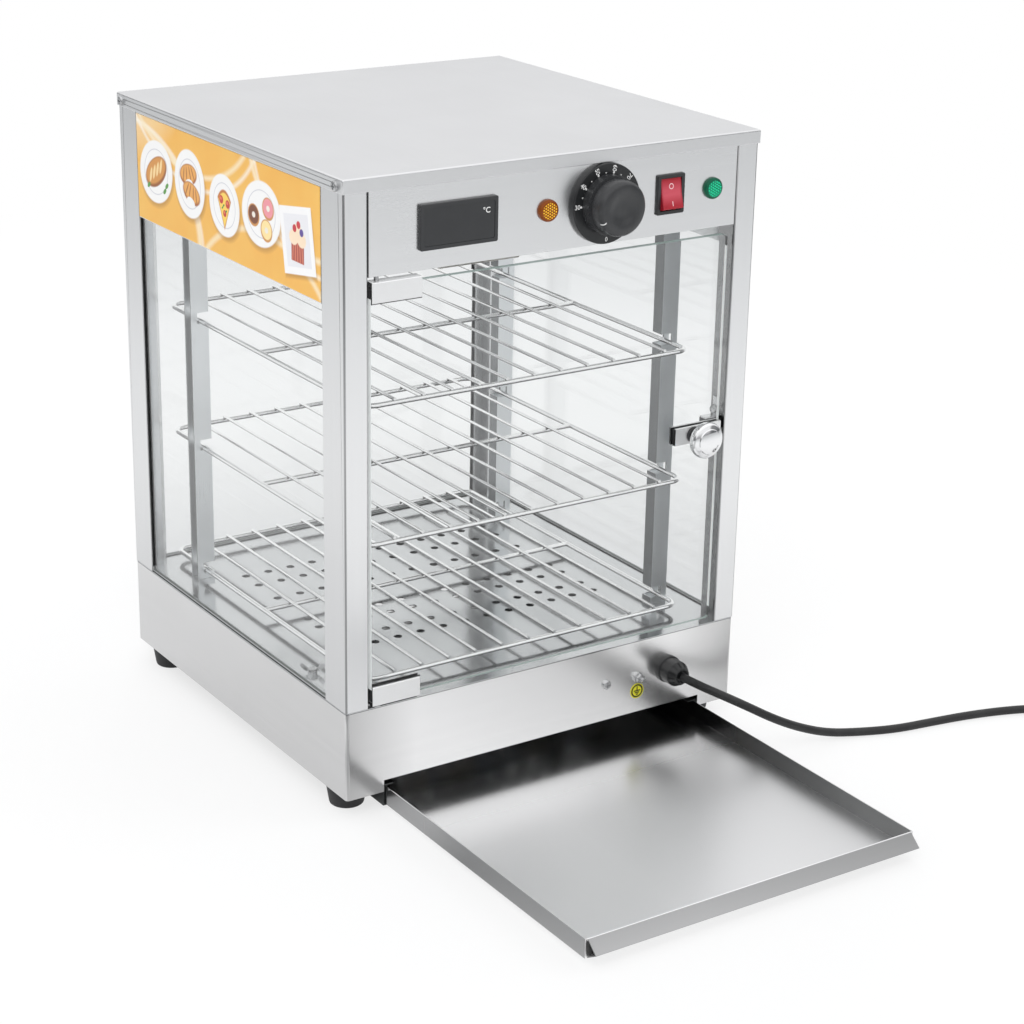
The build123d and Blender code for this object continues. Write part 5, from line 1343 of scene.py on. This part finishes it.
# -------- supply cord
@dataclass
class SupplyCord:
    """The 1.8 m mains lead in millimetres: its laid stretch, its coil and its plug.

    The laid points are counted in X and Y from the exit. The plug's widest rim rests by its
    drop below the cord's axis on the coil, and changing the lane takes a shift of points.
    """

    diameter: float = 7.0
    length: float = 1800.0
    exit: Triple = (119.0, -205.5, 58.5)
    laid: tuple[Triple, ...] = (
        (1.9, -17.8, 58.2), (11.5, -34.8, 54.2), (30.3, -45.8, 43.8), (54.0, -51.8, 29.3),
        (79.0, -55.5, 16.6), (107.0, -60.0, 6.4), (135.0, -68.0, 3.5), (166.0, -79.8, 3.5),
        (201.0, -85.0, 3.5), (241.0, -92.0, 3.5), (281.0, -104.0, 3.5), (313.0, -120.5, 3.5),
        (335.0, -131.8, 3.5))
    lead_in: float = 27.0
    lead_out: float = 30.0
    middle: float = 35.93
    spacing: float = 7.1
    lanes: int = 3
    per_turn: int = 16
    shift: int = 5
    plug_reach: float = 86.0
    plug_rim: float = 18.0
    plug_drop: float = 10.5

    def coil(self, gate: Vector, heading: Vector) -> list[Vector]:
        """The coil's points: inward lane by lane, then outward in the upper layer.

        Args:
            gate: where the cord meets the coil.
            heading: the way in which it does.

        Returns:
            The points, without the gate.
        """
        centre = gate + Vector((heading.y, -heading.x, 0)) * (self.middle + self.spacing)
        start = math.atan2(gate.y - centre.y, gate.x - centre.x)
        outward = [self.middle + self.spacing * (1 - lane) for lane in range(self.lanes)]
        lanes = [(r, 0) for r in outward] + [(r, 1) for r in reversed(outward)]
        step_angle = 2 * math.pi / self.per_turn
        grow = 1 / (0.75 + 0.25 * math.cos(step_angle))
        points = []
        for step in range(1, len(lanes) * self.per_turn):
            turn, share = divmod(step, self.per_turn)
            radius, layer = lanes[turn]
            if turn + 1 < len(lanes):
                blend = max(0.0, (share - self.per_turn + self.shift) / self.shift)
                radius += (lanes[turn + 1][0] - radius) * blend
                layer += (lanes[turn + 1][1] - layer) * blend
            angle = start - step * step_angle
            points.append(Vector((centre.x + math.cos(angle) * radius * grow,
                                  centre.y + math.sin(angle) * radius * grow,
                                  self.diameter / 2 + self.spacing * layer)))
        return points

    def route(self) -> list[Vector]:
        """The cord's points, from the gland to the plug.

        Returns:
            The points.
        """
        points = [Vector(self.exit)]
        points += [Vector((self.exit[0] + x, self.exit[1] + y, z)) for x, y, z in self.laid]
        heading = (points[-1] - points[-2]).normalized()
        gate = points[-1] + heading * self.lead_in
        tilt = math.atan2(self.plug_rim, self.plug_reach) - math.asin(
            self.plug_drop / math.hypot(self.plug_reach, self.plug_rim))
        axis = heading * math.cos(tilt) + Vector((0, 0, math.sin(tilt)))
        top = Vector((gate.x, gate.y, self.diameter / 2 + self.spacing))
        return [*points, *self.coil(gate, heading), top, top + axis * (self.lead_out * 0.5),
                top + axis * self.lead_out]

    def build(self) -> None:
        """The cord as one smooth curve, up to its plug."""
        points = self.route()
        curve = bpy.data.curves.new("supply_cord", "CURVE")
        curve.dimensions, curve.bevel_depth = "3D", self.diameter / 2 * MM
        curve.bevel_resolution, curve.resolution_u, curve.use_fill_caps = 5, 6, True
        line = curve.splines.new("NURBS")
        line.points.add(len(points) - 1)
        for knot, point in zip(line.points, points):
            knot.co = (*(point * MM), 1.0)
        line.order_u, line.use_endpoint_u = 3, True
        cord = bpy.data.objects.new("supply_cord", curve)
        bpy.context.scene.collection.objects.link(cord)
        curve.materials.append(FLEX.material())
        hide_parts("power_cord", "cord_coil")
        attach(cord, "cabinet")
        LOG.info("built supply_cord from %d points", len(points))


# -------- control panel
@dataclass
class Dial:
    """The thermostat's dial: its numerals, its dots and its knob.

    The shoulder's steps say how far in and how far out, the dish how far each ring sinks.
    """

    centre: Pair = DIAL_CENTRE
    face: float = -0.189
    numerals: tuple[str, ...] = ("30", "40", "50", "60", "70", "80", "90")
    first: float = 180.0
    step: float = -34.0
    numeral_radius: float = 0.0272
    dot_radius: float = 0.0239
    knob_back: float = -0.1894
    knob_radius: float = 0.023
    skirt: float = 0.008
    edge: float = 0.0045
    edge_steps: int = 5
    shoulder: tuple[Pair, ...] = ((0.0006, 0.0005), (0.0012, 0.0), (0.0, 0.0085))
    dish: tuple[float, ...] = (0.0005, 0.0007, 0.0005, 0.0002, 0.0)

    def at(self, radius: float, angle: float) -> Triple:
        """A point on the dial's face, by its radius and its angle."""
        turn, (x, z) = math.radians(angle), self.centre
        return x + radius * math.cos(turn), self.face - 0.05 * MM, z + radius * math.sin(turn)

    def dot(self, angle: float, size: float) -> bpy.types.Object:
        """A round printed dot, crowned at its rim.

        Args:
            angle: where it is on the dial.
            size: its radius.

        Returns:
            The dot.
        """
        piece = Bench.drum(self.at(self.dot_radius, angle), size, 0.06 * MM, 20)
        Bench.mode("EDIT")
        Bench.choose(piece, lambda face: face.normal.y < -0.9)
        bpy.ops.mesh.inset(thickness=size * 0.3, depth=0.01 * MM)
        Bench.mode("OBJECT")
        return piece

    def marks(self) -> None:
        """The numerals and dots, joined into one print."""
        pieces = []
        for number, words in enumerate(self.numerals):
            angle = self.first + self.step * number
            pieces.append(Bench.lettering(words, 0.0036, self.at(self.numeral_radius, angle),
                                          math.radians(angle + 180)))
            pieces.append(self.dot(angle, 0.00085))
            if number + 1 < len(self.numerals):
                pieces.append(self.dot(angle + self.step / 2, 0.0005))
        pieces.append(Bench.lettering("0", 0.0034, self.at(self.numeral_radius, 270.0)))
        Bench.finish(Bench.join(*pieces), "dial_marks", "cabinet", "black_plastic", INK)

    @staticmethod
    def draw(piece: bpy.types.Object, inset: float, out: float, sink: float = 0.0) -> None:
        """Draw the knob's front face in, then out, or sink it.

        Args:
            piece: the knob, in edit mode.
            inset: how far its rim moves in.
            out: how far the face moves out.
            sink: how far it moves in without new sides.
        """
        def front(face: bmesh.types.BMFace) -> bool:
            """Whether a face is the round one at the front."""
            return face.normal.y < -0.9 and len(face.verts) > 20

        Bench.choose(piece, front)
        if inset:
            bpy.ops.mesh.inset(thickness=inset, depth=0.0)
        if out:
            Bench.move(out)
        if sink:
            Bench.choose(piece, front)
            bpy.ops.transform.translate(value=(0, sink, 0))

    def knob(self) -> None:
        """The dished knob on its skirt."""
        x, z = self.centre
        piece = Bench.drum((x, self.knob_back - self.skirt / 2, z), self.knob_radius, self.skirt, 96)
        Bench.mode("EDIT")
        for inset, out in self.shoulder:
            self.draw(piece, inset, out)
        bends = [math.radians(90 * number / (self.edge_steps + 1)) for number in range(self.edge_steps + 1)]
        for last, bend in zip(bends, bends[1:]):
            self.draw(piece, 0.0, self.edge * (math.sin(bend) - math.sin(last)))
            size = 1 - self.edge * (math.cos(last) - math.cos(bend)) / self.knob_radius * 1.05
            bpy.ops.transform.resize(value=(size, 1, size), center_override=(x, self.knob_back, z))
        self.draw(piece, self.edge, 0.0)
        for sink in self.dish:
            self.draw(piece, 0.0022, 0.0, sink)
        bpy.ops.mesh.select_all(action="SELECT")
        bpy.ops.mesh.remove_doubles(threshold=1e-6)
        bpy.ops.mesh.normals_make_consistent(inside=False)
        Bench.smooth(38)
        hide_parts("thermostat_knob")
        Bench.finish(piece, "turning_knob", "thermostat_control", "black_plastic", KNOB)

    def build(self) -> None:
        """Make the dial's marks and its knob."""
        self.marks()
        self.knob()


@dataclass
class Display:
    """The thermometer display's printed unit sign."""

    at: Triple = (-0.0672, -0.18712, 0.4655)
    height: float = 0.0042

    def build(self) -> None:
        """Print the unit sign."""
        sign = Bench.lettering("°C", self.height, self.at, bold=0.06 * MM)
        Bench.finish(sign, "display_sign", "cabinet", "display_black", INK)


# -------- catch
@dataclass
class CatchScrew:
    """The slotted screw that holds the catch bracket, its crown in steps in and out."""

    at: Triple = (0.158, -0.1761, 0.2755)
    radius: float = 0.0034
    rise: float = 0.0018
    crown: tuple[Pair, ...] = ((0.0005, 0.0003), (0.0007, 0.0002))
    slot: Pair = (0.0014, 0.0009)
    slot_turn: float = 35.0

    def build(self) -> None:
        """Model the crowned head and press its slot in."""
        x, y, z = self.at
        piece = Bench.drum((x, y - self.rise / 2, z), self.radius, self.rise, 32)
        Bench.mode("EDIT")
        for thickness, depth in self.crown:
            Bench.choose(piece, lambda face: face.normal.y < -0.95 and len(face.verts) > 8)
            bpy.ops.mesh.inset(thickness=thickness, depth=depth)
        Bench.mode("OBJECT")
        bpy.ops.mesh.primitive_cube_add(size=1.0, location=(x, y - self.rise - 0.0002, z))
        slot = bpy.context.active_object
        slot.scale = (self.radius * 2.4, *self.slot)
        slot.rotation_euler = (0, math.radians(self.slot_turn), 0)
        Bench.settle()
        cut = piece.modifiers.new("slot", "BOOLEAN")
        cut.operation, cut.object, cut.solver = "DIFFERENCE", slot, "EXACT"
        Bench.pick(piece)
        bpy.ops.object.modifier_apply(modifier="slot")
        bpy.data.objects.remove(slot)
        Bench.smooth(35)
        Bench.finish(piece, "catch_screw", "cabinet", "zinc", ZINC)


@dataclass
class CatchKnob:
    """The plated pull: a black ring, a ball neck and a dished disc."""

    at: Triple = (0.133, -0.1866, 0.26)
    ring: tuple[Pair, ...] = ((6.8, 0), (6.8, 1.8), (6.2, 2.4), (4.0, 2.5))
    neck: tuple[Pair, ...] = (
        (4.0, 0), (4.0, 2.5), (5.0, 3.3), (5.7, 4.6), (5.9, 6.0), (5.6, 7.6), (4.8, 9.0), (4.4, 9.8))
    disc: tuple[Pair, ...] = (
        (4.8, 10.4), (9.0, 11.0), (12.6, 12.0), (14.2, 13.4), (14.8, 15.0), (14.9, 16.6), (14.6, 18.2),
        (13.9, 19.4), (12.8, 20.2), (11.2, 20.8), (10.4, 21.2), (9.9, 21.9), (9.6, 22.0), (7.5, 22.5),
        (5.0, 22.9), (2.5, 23.1), (0.8, 23.15))

    def build(self) -> None:
        """Turn the ring and the pull."""
        ring = Bench.turned(self.at, self.ring, 48)
        Bench.finish(ring, "catch_ring", "door", "black_rubber", BLACK)
        pull = Bench.turned(self.at, self.neck + self.disc, 72, 26.0)
        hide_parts("door_knob")
        Bench.finish(pull, "catch_pull", "door", "bright_chrome", CHROME)


@dataclass
class CableGland:
    """The cord's gland: its thread, its shoulder and its fluted cap.

    A band of flutes has its start and end in millimetres, the faces from one flute to the next,
    and a flute's rim and depth.
    """

    at: Triple = (0.119, -0.1735, 0.0585)
    body: tuple[Pair, ...] = (
        (7.8, 0), (7.8, 11.0), (11.6, 11.05), (11.6, 13.4), (11.0, 13.9), (10.6, 14.0), (10.6, 24.6),
        (10.2, 25.4))
    cap: tuple[Pair, ...] = ((7.6, 30.2), (7.1, 30.9), (6.4, 31.2), (5.6, 31.2), (5.2, 30.6), (4.0, 29.6))
    sides: int = 48
    flutes: tuple[tuple[float, float, int, float, float], ...] = (
        (25.4, 30.2, 4, 0.00015, 0.0007), (14.1, 24.5, 8, 0.0003, 0.0003))

    def build(self) -> None:
        """Turn the gland and press flutes into the cap's cone and its barrel."""
        gland = Bench.turned(self.at, self.body + self.cap, self.sides)
        Bench.pick(gland)
        Bench.mode("EDIT")
        for start, end, every, rim, depth in self.flutes:
            def flute(face: bmesh.types.BMFace) -> bool:
                """Whether a face becomes a flute.

                Args:
                    face: a face of the gland.

                Returns:
                    True for those of the band that the count hits.
                """
                x, y, z = face.calc_center_median() - Vector(self.at)
                number = round(math.atan2(z, x) / (2 * math.pi) * self.sides - 0.5)
                return abs(face.normal.y) < 0.9 and start * MM < -y < end * MM and number % every == 0

            Bench.choose(gland, flute)
            bpy.ops.mesh.inset(thickness=rim, depth=-depth, use_individual=True)
        Bench.smooth(26)
        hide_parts("cable_gland")
        Bench.finish(gland, "fluted_gland", "cabinet", "black_plastic", GLAND)


@dataclass
class Feet:
    """Four stout rubber feet, wider at the top, each dished below for its screw."""

    corner: Pair = (0.168, 0.1545)
    foot: float = 0.0135
    top: float = 0.0162
    height: float = 0.017
    sides: int = 64

    def one(self, x: float, y: float) -> bpy.types.Object:
        """Model one foot.

        Args:
            x, y: its corner.

        Returns:
            The foot.
        """
        Bench.clear()
        bpy.ops.mesh.primitive_cone_add(vertices=self.sides, radius1=self.foot, radius2=self.top,
                                        depth=self.height, location=(x, y, self.height / 2))
        piece = Bench.settle()
        Bench.mode("EDIT")
        Bench.choose(piece, lambda face: face.normal.z < -0.9)
        bpy.ops.mesh.bevel(offset=0.0018, segments=3, affect="EDGES")
        Bench.choose(piece, lambda face: face.normal.z < -0.9 and len(face.verts) == self.sides)
        bpy.ops.mesh.inset(thickness=0.0058, depth=0.0)
        bpy.ops.mesh.inset(thickness=0.0006, depth=-0.005)
        Bench.smooth(35)
        return piece

    def build(self) -> None:
        """Make the four feet as one piece."""
        x, y = self.corner
        feet = Bench.join(*(self.one(a * x, b * y) for a in (-1, 1) for b in (-1, 1)))
        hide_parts("rubber_feet")
        Bench.finish(feet, "stout_feet", "cabinet", "black_rubber", RUBBER)


# -------- dressing
POSTS = "post_front_left post_front_right post_rear_left post_rear_right"
CLAMPS = "door_clamp_top door_clamp_bottom knob_clip"
UPRIGHTS = "uprights_left uprights_right"


@dataclass
class Wardrobe:
    """Gives every node of the frame its finish, and softens its sheet edges by millimetres."""

    nodes: dict[str, bpy.types.Object]
    finishes: tuple[tuple[Finish, str], ...] = (
        (BASE, "base_shell"),
        (CASE, "control_panel header_left header_right header_back ceiling_plate catch_bracket"),
        (SHADED_DULL, "element_hangers tray_runners"),
        (POST, POSTS),
        (ROOF, "roof_cover"),
        (TRAY, "drip_tray"),
        (UPRIGHT, UPRIGHTS),
        (DECK, "deck_plate"),
        (WIRE, "shelf_top shelf_middle shelf_bottom"),
        (CHROME, "door_knob"),
        (CLAMP, CLAMPS),
        (ZINC, "foot_screws wing_nuts earth_stud case_screws"),
        (ZINC, "clamp_screws hinge_pins hinge_washer thermostat_shaft"),
        (BULB, "thermostat_bulb"),
        (MAGNET, "catch_magnet"),
        (SHEATH, "heating_element"),
        (FRONT_GLASS, "door_glass glass_back"),
        (SIDE_GLASS, "glass_left glass_right"),
        (RUBBER, "rubber_feet mains_plug"),
        (SEAL, "glass_gaskets"),
        (LINER, "door_liners"),
        (FLEX, "power_cord cord_coil"),
        (BLACK, "cable_gland gland_nut rocker_housing"),
        (SCALE, "dial_scale"),
        (KNOB, "thermostat_knob"),
        (BEZEL, "display_bezel"),
        (SCREEN, "display_window"),
        (ROCKER, "power_rocker"),
        (AMBER, "amber_lamp"),
        (GREEN, "green_lamp"),
        (LABEL, "earth_label"),
        (FILM, "header_prints"),
        (CERAMIC, "terminal_block thermostat_body"))
    softened: tuple[tuple[float, str], ...] = (
        (0.35, "base_shell roof_cover drip_tray"),
        (0.35, POSTS),
        (0.3, "control_panel header_left header_right header_back"),
        (0.3, UPRIGHTS),
        (0.3, CLAMPS),
        (0.4, "catch_bracket"))

    def dress(self) -> None:
        """Paint every node."""
        left = set(self.nodes)
        for finish, names in self.finishes:
            for name in names.split():
                for slot in self.nodes[name].material_slots:
                    slot.material = finish.material()
                left.discard(name)
        if left:
            raise ValueError(f"undressed: {sorted(left)}")
        LOG.info("dressed %d nodes", len(self.nodes))

    def soften(self) -> None:
        """Round the sheet edges a little, so that they catch the light."""
        for radius, names in self.softened:
            for node in (self.nodes[name] for name in names.split()):
                weld = node.modifiers.new("weld", "WELD")
                weld.merge_threshold = 1e-6
                bevel = node.modifiers.new("edge", "BEVEL")
                bevel.width, bevel.segments, bevel.harden_normals = radius * MM, 2, True
                bevel.limit_method, bevel.angle_limit = "ANGLE", math.radians(40)
        LOG.info("softened the sheet edges")


def main() -> None:
    """Build the scene in order."""
    logging.basicConfig(level=logging.INFO, format="%(message)s")
    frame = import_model()
    for part in (Studio(), SupplyCord(), Dial(), Display(), CatchScrew(), CatchKnob(), CableGland(), Feet()):
        part.build()
    wardrobe = Wardrobe(frame["nodes"])
    wardrobe.dress()
    wardrobe.soften()


if __name__ == "__main__":
    main()
